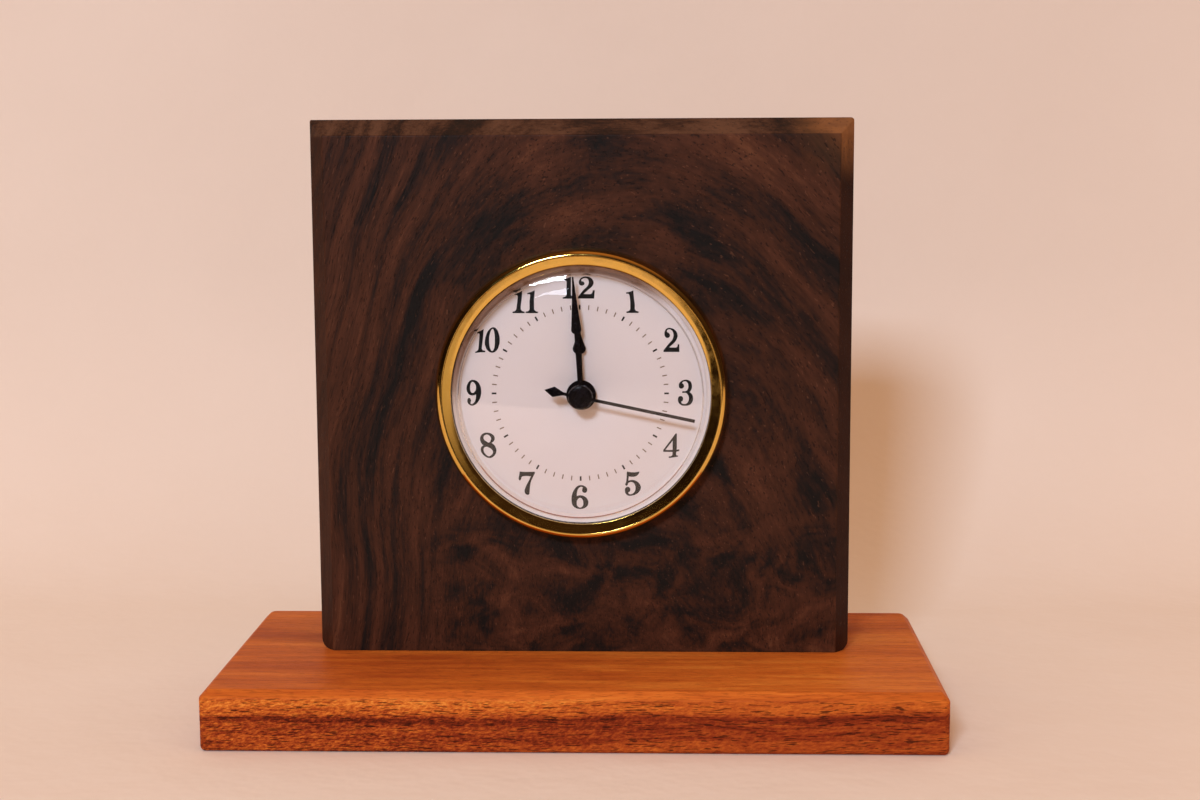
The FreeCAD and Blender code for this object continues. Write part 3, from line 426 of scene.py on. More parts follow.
set_inputs(tree, shader, {"Base Color": pale, "Roughness": 0.9, "Specular IOR Level": 0.1,
                          "Normal": bump.outputs[0]})
from_behind = add(tree, "NewGeometry").outputs["Backfacing"]
surface = see_through(tree, from_behind, shader.outputs[0])
set_inputs(tree, tree.nodes["Material Output"], {"Surface": surface})
finish_with(cloth, cloth_finish)
print("cloth faces", len(cloth.data.polygons))

# %% [markdown]
# ## Effects that several finishes share
# Wood is made of long fibres with open pores between them. Polished metal and plastic have faint
# rubbed places. Both effects are node groups with named inputs, so that each material can use them with
# its own sizes.

# %% A group of nodes
def new_group(name, place, numbers, outputs):
    """An empty group that takes a place and some numbers, with what it puts out."""
    group = bpy.data.node_groups.new(name, "ShaderNodeTree")
    group.interface.new_socket(place, in_out="INPUT", socket_type="NodeSocketVector")
    for label, value in numbers.items():
        socket = group.interface.new_socket(label, in_out="INPUT", socket_type="NodeSocketFloat")
        socket.default_value = value
    for label in outputs:
        group.interface.new_socket(label, in_out="OUTPUT", socket_type="NodeSocketFloat")
    return group, group.nodes.new("NodeGroupInput").outputs, group.nodes.new("NodeGroupOutput")


def use_group(tree, group, inputs):
    """Places a group in a material and returns its outputs."""
    node = tree.nodes.new("ShaderNodeGroup")
    node.node_tree = group
    set_inputs(tree, node, inputs)
    return node.outputs


def divided(tree, place, *sizes):
    """A place with each part divided by its own size, so that noise on it is that wide and long."""
    parts = add(tree, "SeparateXYZ", {0: place}).outputs
    return vector(tree, *[calc(tree, "DIVIDE", part, size) for part, size in zip(parts, sizes)])


# %% Wood fibre
# The place comes in as across, depth and along the grain, in millimetres.
wood_fibre, given, results = new_group(
    "wood_fibre", "Grain Place", {"Fibre Width": 0.5, "Fibre Length": 14.0, "Pore Width": 0.22,
                                  "Pore Length": 2.4, "Pore Amount": 0.3}, ["Fibre", "Streak", "Pore"])
place, fibre_width, fibre_length, pore_width, pore_length, pore_amount = list(given)[:6]
broad, long_streak = times(wood_fibre, fibre_width, 5.0), times(wood_fibre, fibre_length, 3.0)
fine = divided(wood_fibre, place, fibre_width, fibre_width, fibre_length)
streaky = divided(wood_fibre, place, broad, broad, long_streak)
pore_noise = noise(wood_fibre, divided(wood_fibre, place, pore_width, pore_width, pore_length), 1.0, 1.0, 0.4)
edge_of_pore = calc(wood_fibre, "SUBTRACT", 0.80, times(wood_fibre, pore_amount, 0.4))
set_inputs(wood_fibre, results, {
    "Fibre": noise(wood_fibre, fine, 1.0, 3.0, 0.6),
    "Streak": noise(wood_fibre, streaky, 1.0, 4.0, 0.6),
    "Pore": between(wood_fibre, pore_noise, edge_of_pore, plus(wood_fibre, edge_of_pore, 0.06))})
print("wood_fibre nodes", len(wood_fibre.nodes))

# %% Rubbed places
rubbed, given, results = new_group("rubbed_places", "Place", {"Size": 6.0}, ["Cloud", "Speck"])
place, cloud_size, speck_size = given["Place"], given["Size"], 0.35
specks = noise(rubbed, divided(rubbed, place, speck_size, speck_size, speck_size), 1.0, 1.0, 0.5)
set_inputs(rubbed, results, {
    "Cloud": noise(rubbed, divided(rubbed, place, cloud_size, cloud_size, cloud_size), 1.0, 5.0, 0.65),
    "Speck": between(rubbed, specks, 0.66, 0.74)})
print("rubbed_places nodes", len(rubbed.nodes))


# %% A material with its place in millimetres
def new_finish(name, **values):
    """A material, its tree, its shader, and the object's own place in millimetres."""
    material = bpy.data.materials.new(name)
    material.use_nodes = True
    tree = material.node_tree
    shader = tree.nodes["Principled BSDF"]
    set_inputs(tree, shader, {key.replace("_", " "): value for key, value in values.items()})
    return material, tree, shader, scaled(tree, add(tree, "TexCoord").outputs["Object"], 1 / mm)


def raise_surface(tree, shader, height, depth, strength=1.0):
    """A fine relief of a depth in millimetres."""
    bump = add(tree, "Bump", {"Height": height, "Strength": strength, "Distance": depth * mm})
    tree.links.new(bump.outputs[0], shader.inputs["Normal"])


def from_dial_middle(tree, place):
    """The part of a place that runs across the dial, from the dial's middle, and its length."""
    flat = moved(tree, place, (-dial_x, 0, -dial_z))
    flat = add(tree, "VectorMath", {0: flat, 1: (1, 0, 1)}, operation="MULTIPLY").outputs[0]
    return flat, add(tree, "VectorMath", {0: flat}, operation="LENGTH").outputs["Value"]


# %% [markdown]
# ## Walnut
# The block is cut near a crotch, where the grain is wild. On the left it stands nearly upright, to the
# right it falls in bands at about 45 degrees, and low down it curls. A picture could be wrapped round the
# block, but a solid pattern goes right through, so that the chamfers and the sides show the same figure
# cut another way. The trick is to bend the place before the noise reads it: one value runs across the
# grain and one along it, and the lean changes from left to right.

# %% The walnut's figure
walnut, tree, shader, place = new_finish("oiled_walnut", Roughness=0.45, Specular_IOR_Level=0.1)
block_low, block_high = [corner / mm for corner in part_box("case_block")]
parts = add(tree, "SeparateXYZ", {0: place}).outputs
sideways, inward, upward = parts["X"], parts["Y"], parts["Z"]
warp = swing(tree, noise(tree, place, 0.02, 1.5, 0.4), 18.0)
warp_too = swing(tree, noise(tree, moved(tree, place, (170, 40, 90)), 0.02, 1.5, 0.4), 18.0)
from_left = calc(tree, "SUBTRACT", plus(tree, sideways, warp), dial_x + 5.0)
from_root = calc(tree, "SUBTRACT", plus(tree, upward, warp_too), dial_z - 90.0)
arch_x = times(tree, from_left, between(tree, from_left, -8.0, 8.0, 1.0, 0.68, "LINEAR"))
arch_z = calc(tree, "DIVIDE", from_root, 2.5)
along = times(tree, calc(tree, "ARCTAN2", arch_z, arch_x), 70.0)
grain_place = vector(tree, slope(tree, arch_x, arch_z), inward, along)
band = noise(tree, divided(tree, grain_place, 4.6, 26.0, 34.0), 1.0, 4.0, 0.6)
curl_place = vector(tree, from_left, inward, times(tree, from_root, 1.3))
curl = noise(tree, divided(tree, curl_place, 14.0, 22.0, 14.0), 1.0, 4.0, 0.55, 1.3)
low_down = times(tree, between(tree, upward, dial_z - 24, dial_z - 40),
                 between(tree, sideways, dial_x - 42, dial_x - 30))
figure = add(tree, "Mix", {0: low_down, 2: band, 3: curl}).outputs[0]
fibre = use_group(tree, wood_fibre, {"Grain Place": grain_place, "Fibre Width": 0.4, "Fibre Length": 5.0,
                                     "Pore Width": 0.22, "Pore Length": 0.8, "Pore Amount": 0.36})
tooth = noise(tree, divided(tree, grain_place, 0.6, 0.6, 1.5), 1.0, 2.0, 0.6)
out_from_dial = from_dial_middle(tree, place)[1]
figure = plus(tree, figure, swing(tree, fibre["Streak"], 0.14), swing(tree, fibre["Fibre"], 0.20),
              swing(tree, tooth, 0.20), between(tree, out_from_dial, 48.0, 86.0, -0.045, 0.04))
print("walnut figure nodes", len(tree.nodes))

# %% The walnut's colour
wood_colour = ramp(tree, figure, (0.34, seen(24, 17, 14)), (0.42, seen(40, 22, 16)), (0.49, seen(56, 28, 17)),
                   (0.62, seen(73, 37, 23)), (0.76, seen(96, 52, 32)))
on_chamfer = times(tree, between(tree, inward, block_low.y + 0.05, block_low.y + 0.3),
                   between(tree, inward, block_low.y + 4.6, block_low.y + 3.4))
near_top = between(tree, upward, block_high.z - 4.6, block_high.z - 3.6)
# Painted light: the top chamfer is made paler, as if lit more from above.
top_chamfer_painted_light = times(tree, near_top, on_chamfer, between(tree, figure, 0.40, 0.64, 0.1, 0.6))
wood_colour = colour_mix(tree, top_chamfer_painted_light, wood_colour, seen(104, 66, 46))
# Painted shade: the side chamfers are made darker and redder, more on the right than on the left.
side_chamfer_painted_shade = times(tree, calc(tree, "SUBTRACT", 1.0, near_top), on_chamfer,
                  between(tree, sideways, -10.0, 10.0, 0.35, 0.85))
wood_colour = colour_mix(tree, side_chamfer_painted_shade, wood_colour, seen(44, 18, 11))
from_corner = slope(tree, calc(tree, "SUBTRACT", sideways, block_high.x - 3),
                    calc(tree, "SUBTRACT", upward, block_high.z - 2))
in_corner = times(tree, between(tree, from_corner, 15.0, 2.0), fibre["Streak"],
                  calc(tree, "MULTIPLY_ADD", on_chamfer, 0.9, 0.5))
wood_colour = colour_mix(tree, in_corner, wood_colour, seen(140, 82, 45))
glint = noise(tree, divided(tree, grain_place, 0.3, 0.3, 0.9), 1.0, 1.0, 0.5)
wood_colour = colour_mix(tree, between(tree, glint, 0.68, 0.78, 0.0, 0.24), wood_colour, seen(128, 76, 52))
wood_colour = colour_mix(tree, times(tree, fibre["Pore"], 0.6), wood_colour, seen(20, 13, 11))
set_inputs(tree, shader, {"Base Color": wood_colour,
                          "Roughness": between(tree, fibre["Fibre"], 0.3, 0.7, 0.38, 0.52)})
raise_surface(tree, shader, calc(tree, "SUBTRACT", times(tree, fibre["Fibre"], 0.5), fibre["Pore"]), 0.06)
print("walnut nodes", len(tree.nodes))

# %% [markdown]
# ## The plinth's wood
# The plinth is a straight-grained, orange-red board. Its year rings run along its length, so the top shows
# long streaks, the front shows fine lines, and the ends show end grain. Rings about an axis that lies
# along the board, with fibres along the same axis, give all three from one pattern.

# %% Plinth wood
red_wood, tree, shader, place = new_finish("oiled_red_wood", Roughness=0.45, Specular_IOR_Level=0.04)
board_low, board_high = [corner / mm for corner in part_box("base_plinth")]
parts = add(tree, "SeparateXYZ", {0: place}).outputs
lengthwise, inward, upward = parts["X"], parts["Y"], parts["Z"]
slow = swing(tree, noise(tree, divided(tree, place, 60.0, 30.0, 30.0), 1.0, 2.0), 5.0)
deep = plus(tree, calc(tree, "SUBTRACT", board_high.z, upward),
            times(tree, calc(tree, "SUBTRACT", inward, board_low.y), 0.012))
layer = plus(tree, deep, slow)
layer_place = vector(tree, calc(tree, "DIVIDE", layer, 2.4), calc(tree, "DIVIDE", inward, 9.0),
                     calc(tree, "DIVIDE", lengthwise, 120.0))
rings = noise(tree, layer_place, 1.0, 3.0, 0.6)
fibre = use_group(tree, wood_fibre, {"Grain Place": vector(tree, inward, layer, lengthwise),
                                     "Fibre Width": 0.45, "Fibre Length": 9.0,
                                     "Pore Width": 0.22, "Pore Length": 2.8, "Pore Amount": 0.5})
below_top = between(tree, deep, 1.2, 2.6)
to_left = between(tree, lengthwise, 50.0, -60.0, 0.4, 1.0)
tilted = plus(tree, lengthwise, times(tree, layer, 0.8))
fleck = noise(tree, divided(tree, vector(tree, tilted, inward, layer), 0.95, 6.0, 0.44), 1.0, 2.0, 0.6)
fleck = times(tree, swing(tree, fleck, times(tree, below_top, to_left)), 0.82)
heart = between(tree, layer, 4.0, 7.0)
red_line = times(tree, between(tree, layer, 5.2, 6.2), between(tree, layer, 7.6, 6.6))
figure = plus(tree, times(tree, rings, 0.5), 0.33, swing(tree, fibre["Streak"], 0.25),
              swing(tree, fibre["Fibre"], 0.25), fleck)
figure = calc(tree, "SUBTRACT", figure, times(tree, heart, 0.165))
figure = calc(tree, "SUBTRACT", figure, times(tree, red_line, 0.10))
wood_colour = ramp(tree, figure, (0.18, seen(84, 26, 12)), (0.34, seen(132, 44, 18)), (0.48, seen(172, 72, 26)),
                   (0.62, seen(204, 98, 34)), (0.80, seen(232, 132, 52)))
pore_depth = times(tree, fibre["Pore"], calc(tree, "MULTIPLY_ADD", below_top, 0.6, 0.2))
wood_colour = colour_mix(tree, pore_depth, wood_colour, seen(44, 15, 9))
set_inputs(tree, shader, {"Base Color": wood_colour,
                          "Roughness": between(tree, fibre["Fibre"], 0.3, 0.7, 0.40, 0.52)})
raise_surface(tree, shader, calc(tree, "SUBTRACT", times(tree, fibre["Fibre"], 0.4), fibre["Pore"]), 0.05)
print("plinth wood nodes", len(tree.nodes))

# %% [markdown]
# ## The plinth
# The real plinth is a planed board with a routed chamfer round its top and sanded edges. Here a cube is
# the board: first its top edges are bevelled flat, as the router does, then the upright corners and the
# bottom edges are rounded, and a last small bevel is the sandpaper.

# %% The plinth
top_chamfer, corner_round, bottom_round = 1.8, 1.3, 1.2
low, high = [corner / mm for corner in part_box("base_plinth")]
plinth = new_box("plinth", low, high)
edit(plinth)
bevel_edges(plinth, top_chamfer, 1, lambda middle, corners: middle.z > high.z - 0.1)
bevel_edges(plinth, corner_round, 4,
            lambda middle, corners: not runs_along(corners, 0) and not runs_along(corners, 1))
bevel_edges(plinth, bottom_round, 4, lambda middle, corners: middle.z < 0.01)
ease(plinth, 0.35)
stand_in(plinth, red_wood, "base_plinth")

# %% [markdown]
# ## The block
# The block is sawn square, chamfered along the top and both sides of its face, and bored through for the
# insert. Bisect cuts the chamfers, as a saw would, and a boolean with a rod is the drill. The edges are
# eased last, or the light would find no edge to catch.

# %% The block
bottom_round, left_round, right_round = 2.2, 0.3, 0.8
face_chamfer_top, face_chamfer_side, bore_radius = 4.0, 3.5, 30
low, high = [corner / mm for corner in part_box("case_block")]
block = new_box("block", low, high)
edit(block)
bevel_edges(block, bottom_round, 4, lambda middle, corners: runs_along(corners, 1) and middle.z < low.z + 0.01)
bevel_edges(block, left_round, 4,
            lambda middle, corners: runs_along(corners, 1) and middle.z > high.z - 0.01 and middle.x < 0)
bevel_edges(block, right_round, 4,
            lambda middle, corners: runs_along(corners, 1) and middle.z > high.z - 0.01 and middle.x > 0)
cuts = (((dial_x, low.y, high.z - face_chamfer_top), (0, -1, 1)),
        ((low.x + face_chamfer_side, low.y, dial_z), (-1, -1, 0)),
        ((high.x - face_chamfer_side, low.y, dial_z), (1, -1, 0)))
for place_of_cut, outward in cuts:
    pick_all()
    bpy.ops.mesh.bisect(plane_co=Vector(place_of_cut) * mm, plane_no=Vector(outward).normalized(),
                        clear_outer=True, use_fill=True)
clear_selection()
bpy.ops.mesh.primitive_cylinder_add(vertices=128, radius=bore_radius * mm, depth=60 * mm,
                                    rotation=(math.pi / 2, 0, 0), location=spot(0, 0, 15))
drill = bpy.context.object
use_modifier(block, "BOOLEAN", object=drill, operation="DIFFERENCE", solver="EXACT")
bpy.data.objects.remove(drill)
ease(block, 0.4)
stand_in(block, walnut, "case_block")

# %% [markdown]
# ## Turned pieces
# The bezel, the lens, the rings and the cap are all round. On a lathe each would be a profile turned about
# the dial's axis, and the spin tool does the same. The profile is drawn by extruding one vertex from
# point to point, its corners are rounded with a vertex bevel, and then it is spun.

# %% Turning a profile
def pick_points(piece, points):
    """Picks the vertices at points of a profile."""
    places = [spot(point[0], 0, point[1]) / mm for point in points]
    pick(piece, "verts", lambda at, corners: min((at - place).length for place in places) < 0.001)


def turned(name, profile, closed=True, steps=144):
    """Spins a profile of (radius, depth behind the face, corner rounding) points round the dial's axis."""
    clear_selection()
    bpy.ops.mesh.primitive_plane_add(size=0.2 * mm, location=spot(profile[0][0], 0, profile[0][1]))
    piece = bpy.context.object
    piece.name = name
    apply_place()
    bpy.ops.object.mode_set(mode="EDIT")
    bpy.ops.mesh.select_mode(type="VERT")
    pick_all()
    bpy.ops.mesh.merge(type="CENTER")
    for here, there in zip(profile, profile[1:]):
        step = ((there[0] - here[0]) * mm, (there[1] - here[1]) * mm, 0)
        bpy.ops.mesh.extrude_region_move(TRANSFORM_OT_translate={"value": step})
    if closed:
        pick_points(piece, (profile[0], profile[-1]))
        bpy.ops.mesh.edge_face_add()
    for rounding in sorted({point[2] for point in profile if point[2]}):
        pick_points(piece, [point for point in profile if point[2] == rounding])
        bpy.ops.mesh.bevel(offset=rounding * mm, segments=5, affect="VERTICES", clamp_overlap=True)
    pick_all()
    bpy.ops.mesh.spin(steps=steps, angle=2 * math.pi, center=spot(0, 0, 0), axis=(0, 1, 0))
    pick_all()
    bpy.ops.mesh.remove_doubles(threshold=0.001 * mm)
    bpy.ops.mesh.normals_make_consistent(inside=False)
    smooth(piece, 40)
    return piece


# %% [markdown]
# ## The bezel
# The bezel is a pressed brass ring with a lacquered polish. From outside to inside it has a tall round
# flank, a fine step at the crest, a flat band and a slope down to the lens. Each of these mirrors another
# part of the room, so the profile matters more than the colour. Brass keeps its colour in its
# reflections, so it is a metal with a yellow base, and thin rubbed clouds break up the polish.

# %% Brass
brass, tree, shader, place = new_finish("polished_brass", Metallic=1.0, Roughness=0.09)
cloud = use_group(tree, rubbed, {"Place": place, "Size": 4.0})["Cloud"]
set_inputs(tree, shader, {
    "Base Color": ramp(tree, cloud, (0.3, (0.76, 0.48, 0.10, 1)), (0.7, (0.86, 0.56, 0.14, 1))),
    "Roughness": between(tree, cloud, 0.35, 0.75, 0.06, 0.14)})
raise_surface(tree, shader, cloud, 0.01, 0.3)
print("brass nodes", len(tree.nodes))

# %% The bezel
bezel_profile = [(33.0, 0, 0), (33.8, 0, 0), (33.8, -3.35, 0), (34.8, -3.35, 0), (35.2, -1.7, 0), (35.2, 0, 0),
                 (36.0, 0, 0), (36.0, -0.8, 0.3), (35.75, -3.2, 1.2), (35.1, -4.9, 0.9), (34.35, -5.3, 0.25),
                 (33.95, -5.28, 0.12), (33.85, -4.95, 0), (32.9, -4.85, 0.12), (31.72, -4.72, 0.1),
                 (31.72, -4.15, 0), (33.0, -4.15, 0)]
print("bezel front behind the face", round(depths("bezel")[0], 2))
stand_in(turned("bezel_ring", bezel_profile, steps=192), brass, "bezel")

# %% [markdown]
# ## The dial
# The dial is a thin white disc with a printed minute track and twelve upright serif numerals. Print is a
# film of ink, so each mark is a very thin solid that lies on the disc. A built-in font would give the
# wrong letters: these have thick stems, hair-thin joins and round ends. So each digit is drawn once as
# an outline of points, as a type cutter would, and copied where it is needed.

# %% Dial white and ink
def plain_finish(name, colour, roughness, metallic=0.0, cloud=0.06, size=5.0, relief=0.01, gloss=0.5):
    """Paint, plastic or metal: its colour and gloss drift a little, as on any handled thing."""
    material, tree, shader, place = new_finish(name, Metallic=metallic, Roughness=roughness,
                                               Specular_IOR_Level=gloss)
    worn = use_group(tree, rubbed, {"Place": place, "Size": size})
    darker = (*[value * (1 - cloud) for value in colour[:3]], 1.0)
    lighter = (*[min(1.0, value * (1 + cloud)) for value in colour[:3]], 1.0)
    set_inputs(tree, shader, {
        "Base Color": ramp(tree, worn["Cloud"], (0.3, darker), (0.7, lighter)),
        "Roughness": between(tree, worn["Cloud"], 0.3, 0.7, roughness * 0.85, min(1.0, roughness * 1.15))})
    raise_surface(tree, shader, plus(tree, worn["Cloud"], worn["Speck"]), relief, 0.4)
    return material


dial_white = plain_finish("dial_white", seen(219, 193, 187), 0.55, cloud=0.012, size=9.0, relief=0.004)
dial_ink = plain_finish("dial_ink", seen(22, 19, 17), 0.5, cloud=0.15, size=1.5, relief=0.004, gloss=0.1)
thin_ink = plain_finish("thin_dial_ink", seen(112, 84, 62), 0.5, cloud=0.15, size=1.5, relief=0.004)
print("dial white and inks made")

# %% The disc
dial_front, dial_hole, dial_radius, dial_thick = depths("dial")[0], 2.6, 32.9, 0.3
disc = turned("dial_disc", [(dial_hole, dial_front, 0.05), (dial_hole, dial_front + dial_thick, 0),
                            (dial_radius, dial_front + dial_thick, 0), (dial_radius, dial_front, 0.05)])
stand_in(disc, dial_white, "dial")

# %% The shapes of the digits
# Millimetres about the digit's middle. A third value of 1 marks a sharp corner, the rest are smooth.
one = [[(0.5, 3, 1), (0.5, -2.2, 1), (0.85, -2.6), (1.42, -2.78, 1), (1.42, -3.03, 1), (-1.42, -3.03, 1),
        (-1.42, -2.78, 1), (-0.82, -2.6), (-0.5, -2.2, 1), (-0.5, 1.75, 1), (-0.72, 2.05), (-1.3, 2.08, 1),
        (-1.3, 2.35, 1), (-0.45, 2.55)]]
two = [[(-1.76, 1.35), (-1.6, 2.15), (-1.05, 2.75), (0.13, 3.02), (1.32, 2.5), (1.78, 1.4), (1.38, 0.24),
        (0.28, -1), (-0.85, -1.98, 1), (0.5, -2.04), (1.2, -1.95), (1.5, -1.55), (1.62, -1.1, 1),
        (2, -1.1, 1), (1.82, -3, 1), (-2, -3, 1), (-2, -2.68, 1), (-0.9, -1.28), (0.18, -0.02), (0.62, 0.9),
        (0.66, 1.9), (0.32, 2.55), (-0.1, 2.72), (-0.8, 2.58), (-1.22, 2.2), (-1.2, 1.78), (-0.72, 1.55),
        (-0.5, 1.08), (-0.72, 0.6), (-1.12, 0.44), (-1.58, 0.7)]]
three = [[(-0.21, 3.13), (-1.1, 2.85), (-1.68, 2.25), (-1.76, 1.7), (-1.62, 1.25), (-1.2, 1.07),
          (-0.78, 1.25), (-0.6, 1.7), (-0.78, 2.1), (-1.05, 2.35), (-0.8, 2.72), (-0.3, 2.86), (0.25, 2.6),
          (0.56, 1.75), (0.42, 0.85), (0, 0.4), (-0.9, 0.3, 1), (-0.95, 0, 1), (0, -0.02), (0.45, -0.5),
          (0.7, -1.4), (0.45, -2.35), (-0.05, -2.75), (-0.55, -2.82), (-1.15, -2.58), (-1.27, -2.2),
          (-0.98, -1.95), (-0.82, -1.5), (-0.98, -1.05), (-1.38, -0.87), (-1.82, -1.1), (-1.98, -1.7),
          (-1.8, -2.4), (-1.25, -2.95), (-0.28, -3.15), (0.95, -2.88), (1.75, -2.2), (1.97, -1.45),
          (1.65, -0.5), (0.8, 0.17, 1), (1.4, 0.85), (1.63, 1.75), (1.35, 2.6), (0.7, 3)]]
four = [[(0.95, 2.95, 1), (1.17, 2.95, 1), (1.17, -1.1, 1), (2.05, -1.1, 1), (2.05, -1.5, 1),
         (1.17, -1.5, 1), (1.17, -2.3, 1), (1.4, -2.62), (1.88, -2.76, 1), (1.88, -2.98, 1),
         (-0.72, -2.98, 1), (-0.72, -2.76, 1), (-0.05, -2.6), (0.19, -2.3, 1), (0.19, -1.5, 1),
         (-2.05, -1.5, 1), (-2.05, -1.12, 1)],
        [(0.19, -1.1, 1), (-1.62, -1.1, 1), (0.19, 1.25, 1)]]
five = [[(-1.42, 3.04, 1), (-0.83, 2.92), (0.05, 2.84), (0.93, 2.9), (1.55, 3.04, 1), (1.3, 2.5),
         (0.75, 2.02), (0, 1.86), (-1.02, 1.94, 1), (-1.16, 0.78, 1), (-0.7, 0.88), (-0.02, 0.95),
         (1.05, 0.55), (1.72, -0.25), (1.91, -1.1), (1.55, -2.25), (0.68, -2.92), (-0.33, -3.08),
         (-1.14, -2.92), (-1.72, -2.35), (-1.93, -1.6), (-1.75, -1), (-1.27, -0.77), (-0.85, -0.98),
         (-0.71, -1.42), (-0.88, -1.85), (-1.18, -2.08), (-1.1, -2.42), (-0.58, -2.68), (0.1, -2.5),
         (0.52, -1.85), (0.68, -1), (0.5, -0.1), (0.05, 0.42), (-0.45, 0.56), (-0.95, 0.42), (-1.24, 0.2),
         (-1.34, -0.18), (-1.58, -0.36), (-1.82, -0.15), (-1.62, 0.45), (-1.52, 1.2)]]
six = [[(0.25, 3.13), (1.1, 2.9), (1.65, 2.4), (1.74, 1.9), (1.55, 1.5), (1.15, 1.34), (0.76, 1.52),
        (0.58, 1.95), (0.7, 2.35), (0.72, 2.65), (0.25, 2.82), (-0.3, 2.5), (-0.66, 1.85), (-0.82, 1),
        (-0.83, 0.3, 1), (-0.4, 0.52), (0.18, 0.6), (1.2, 0.28), (1.82, -0.4), (2, -1.2), (1.6, -2.3),
        (0.95, -2.92), (0.02, -3.15), (-1.05, -2.8), (-1.75, -1.85), (-2.03, -0.5), (-1.82, 1),
        (-1.2, 2.25), (-0.45, 2.95)],
       [(0.04, 0.08), (0.62, -0.3), (0.88, -1.3), (0.62, -2.35), (0.04, -2.75), (-0.56, -2.35),
        (-0.87, -1.3), (-0.58, -0.3)]]
seven = [[(-1.7, 3.02, 1), (-1, 2.94), (1.92, 2.94, 1), (1.94, 2.72, 1), (1.42, 1.65), (0.92, 0.45),
          (0.68, -0.8), (0.56, -2.1), (0.36, -2.78), (-0.08, -3.03), (-0.48, -2.78), (-0.61, -2.2),
          (-0.42, -1.25), (0.06, -0.15), (0.6, 0.85), (1.08, 1.94, 1), (-0.8, 1.98), (-1.28, 1.78),
          (-1.5, 1.2), (-1.7, 0.94), (-1.93, 1.18), (-1.82, 2.05)]]
eight = [[(-0.09, 3.13), (0.95, 2.85), (1.6, 2.2), (1.69, 1.7), (1.45, 1.12), (0.85, 0.62, 1), (1.55, 0.08),
          (1.98, -0.7), (2.08, -1.25), (1.72, -2.33), (1, -2.92), (-0.04, -3.13), (-1.08, -2.88),
          (-1.79, -2.28), (-2.1, -1.5), (-1.85, -0.65), (-0.97, 0.02, 1), (-1.57, 0.6), (-1.82, 1.35),
          (-1.58, 2.4), (-0.92, 2.98)],
         [(-0.15, 2.76), (0.46, 2.52), (0.88, 1.9), (0.8, 1.2), (0.4, 0.68), (-0.42, 1.02), (-0.98, 1.52),
          (-1.04, 2.12), (-0.7, 2.6)],
         [(-0.31, -0.24), (0.46, -0.55), (1.12, -1.02), (1.35, -1.62), (1.12, -2.22), (0.67, -2.6),
          (0.02, -2.78), (-0.7, -2.4), (-1.22, -1.75), (-1.24, -1.05), (-0.86, -0.47)]]
nine = [[(-point[0], -point[1], *point[2:]) for point in outline] for outline in six]
zero = [[(0, 3.14), (1.05, 2.6), (1.64, 1.4), (1.83, 0), (1.64, -1.4), (1.05, -2.6), (0, -3.14),
         (-1.05, -2.6), (-1.64, -1.4), (-1.83, 0), (-1.64, 1.4), (-1.05, 2.6)],
        [(0, 2.82), (0.48, 2.3), (0.7, 1.3), (0.75, 0), (0.7, -1.3), (0.48, -2.3), (0, -2.82),
         (-0.48, -2.3), (-0.7, -1.3), (-0.75, 0), (-0.7, 1.3), (-0.48, 2.3)]]
drawn_digits = (zero, one, two, three, four, five, six, seven, eight, nine)
print("points in the digits", sum(len(outline) for digit in drawn_digits for outline in digit))


# %% Cutting a digit
ink_depth, ink_spread = 0.03, 0.085


def cut_digit(outlines):
    """A flat filled curve through the points, made a mesh and given the ink's thickness."""
    clear_selection()
    bpy.ops.curve.primitive_bezier_curve_add()
    drawn = bpy.context.object
    drawn.name = "digit"
    drawn.data.dimensions = "2D"
    drawn.data.fill_mode = "BOTH"
    drawn.data.resolution_u = 6
    drawn.data.splines.clear()
    for outline in outlines:
        line = drawn.data.splines.new("BEZIER")
        line.bezier_points.add(len(outline) - 1)
        line.use_cyclic_u = True
        for knot, point in zip(line.bezier_points, outline):
            knot.co = (point[0] * mm, point[1] * mm, 0)
            kind = "VECTOR" if len(point) > 2 else "AUTO"
            knot.handle_left_type = knot.handle_right_type = kind
    choose(drawn)
    bpy.ops.object.convert(target="MESH")
    digit = bpy.context.object
    digit.data.transform(Matrix.Rotation(math.pi / 2, 4, "X"))
    edit(digit, "FACE")
    pick_all()
    bpy.ops.mesh.extrude_region_move(TRANSFORM_OT_translate={"value": (0, -ink_depth * mm, 0)})
    pick_all()
    bpy.ops.mesh.normals_make_consistent(inside=False)
    bpy.ops.transform.shrink_fatten(value=ink_spread * mm)
    bpy.ops.object.mode_set(mode="OBJECT")
    behind = [corner.co.y for corner in digit.data.vertices]
    thinner = ink_depth * mm / (max(behind) - min(behind))
    digit.data.transform(Matrix.Scale(thinner, 4, (0, 1, 0)) @ Matrix.Translation((0, -max(behind), 0)))
    return digit


digits = [cut_digit(outlines) for outlines in drawn_digits]
print("digit faces", [len(digit.data.polygons) for digit in digits])


# %% Printing the numerals
# Each numeral is its digits with their shift to the side, at the same distance from the middle.
def print_mark(model, place, turn=0.0):
    """Copies a mark onto the dial's face, with its own mesh and its place in it."""
    mark = bpy.data.objects.new(model.name, model.data.copy())
    bpy.context.collection.objects.link(mark)
    mark.data.transform(Matrix.Translation(place) @ Matrix.Rotation(turn, 4, "Y"))
    return mark


numeral_radius = 26.1
printed_off_middle = Vector((-0.5, 0, 0.4)) * mm
numerals = {hour: [(hour, 0)] for hour in range(1, 10)}
numerals.update({10: [(1, -1.77), (0, 1.38)], 11: [(1, -1.62), (1, 1.62)], 12: [(1, -2.43), (2, 1.86)]})
marks = []
for hour, parts_of_numeral in numerals.items():
    angle = math.radians(30 * hour)
    for digit, shift in parts_of_numeral:
        place = spot(numeral_radius * math.sin(angle) + shift, numeral_radius * math.cos(angle), dial_front)
        marks.append(print_mark(digits[digit], place + printed_off_middle))
for digit in digits:
    bpy.data.objects.remove(digit)
print("numerals", len(marks))

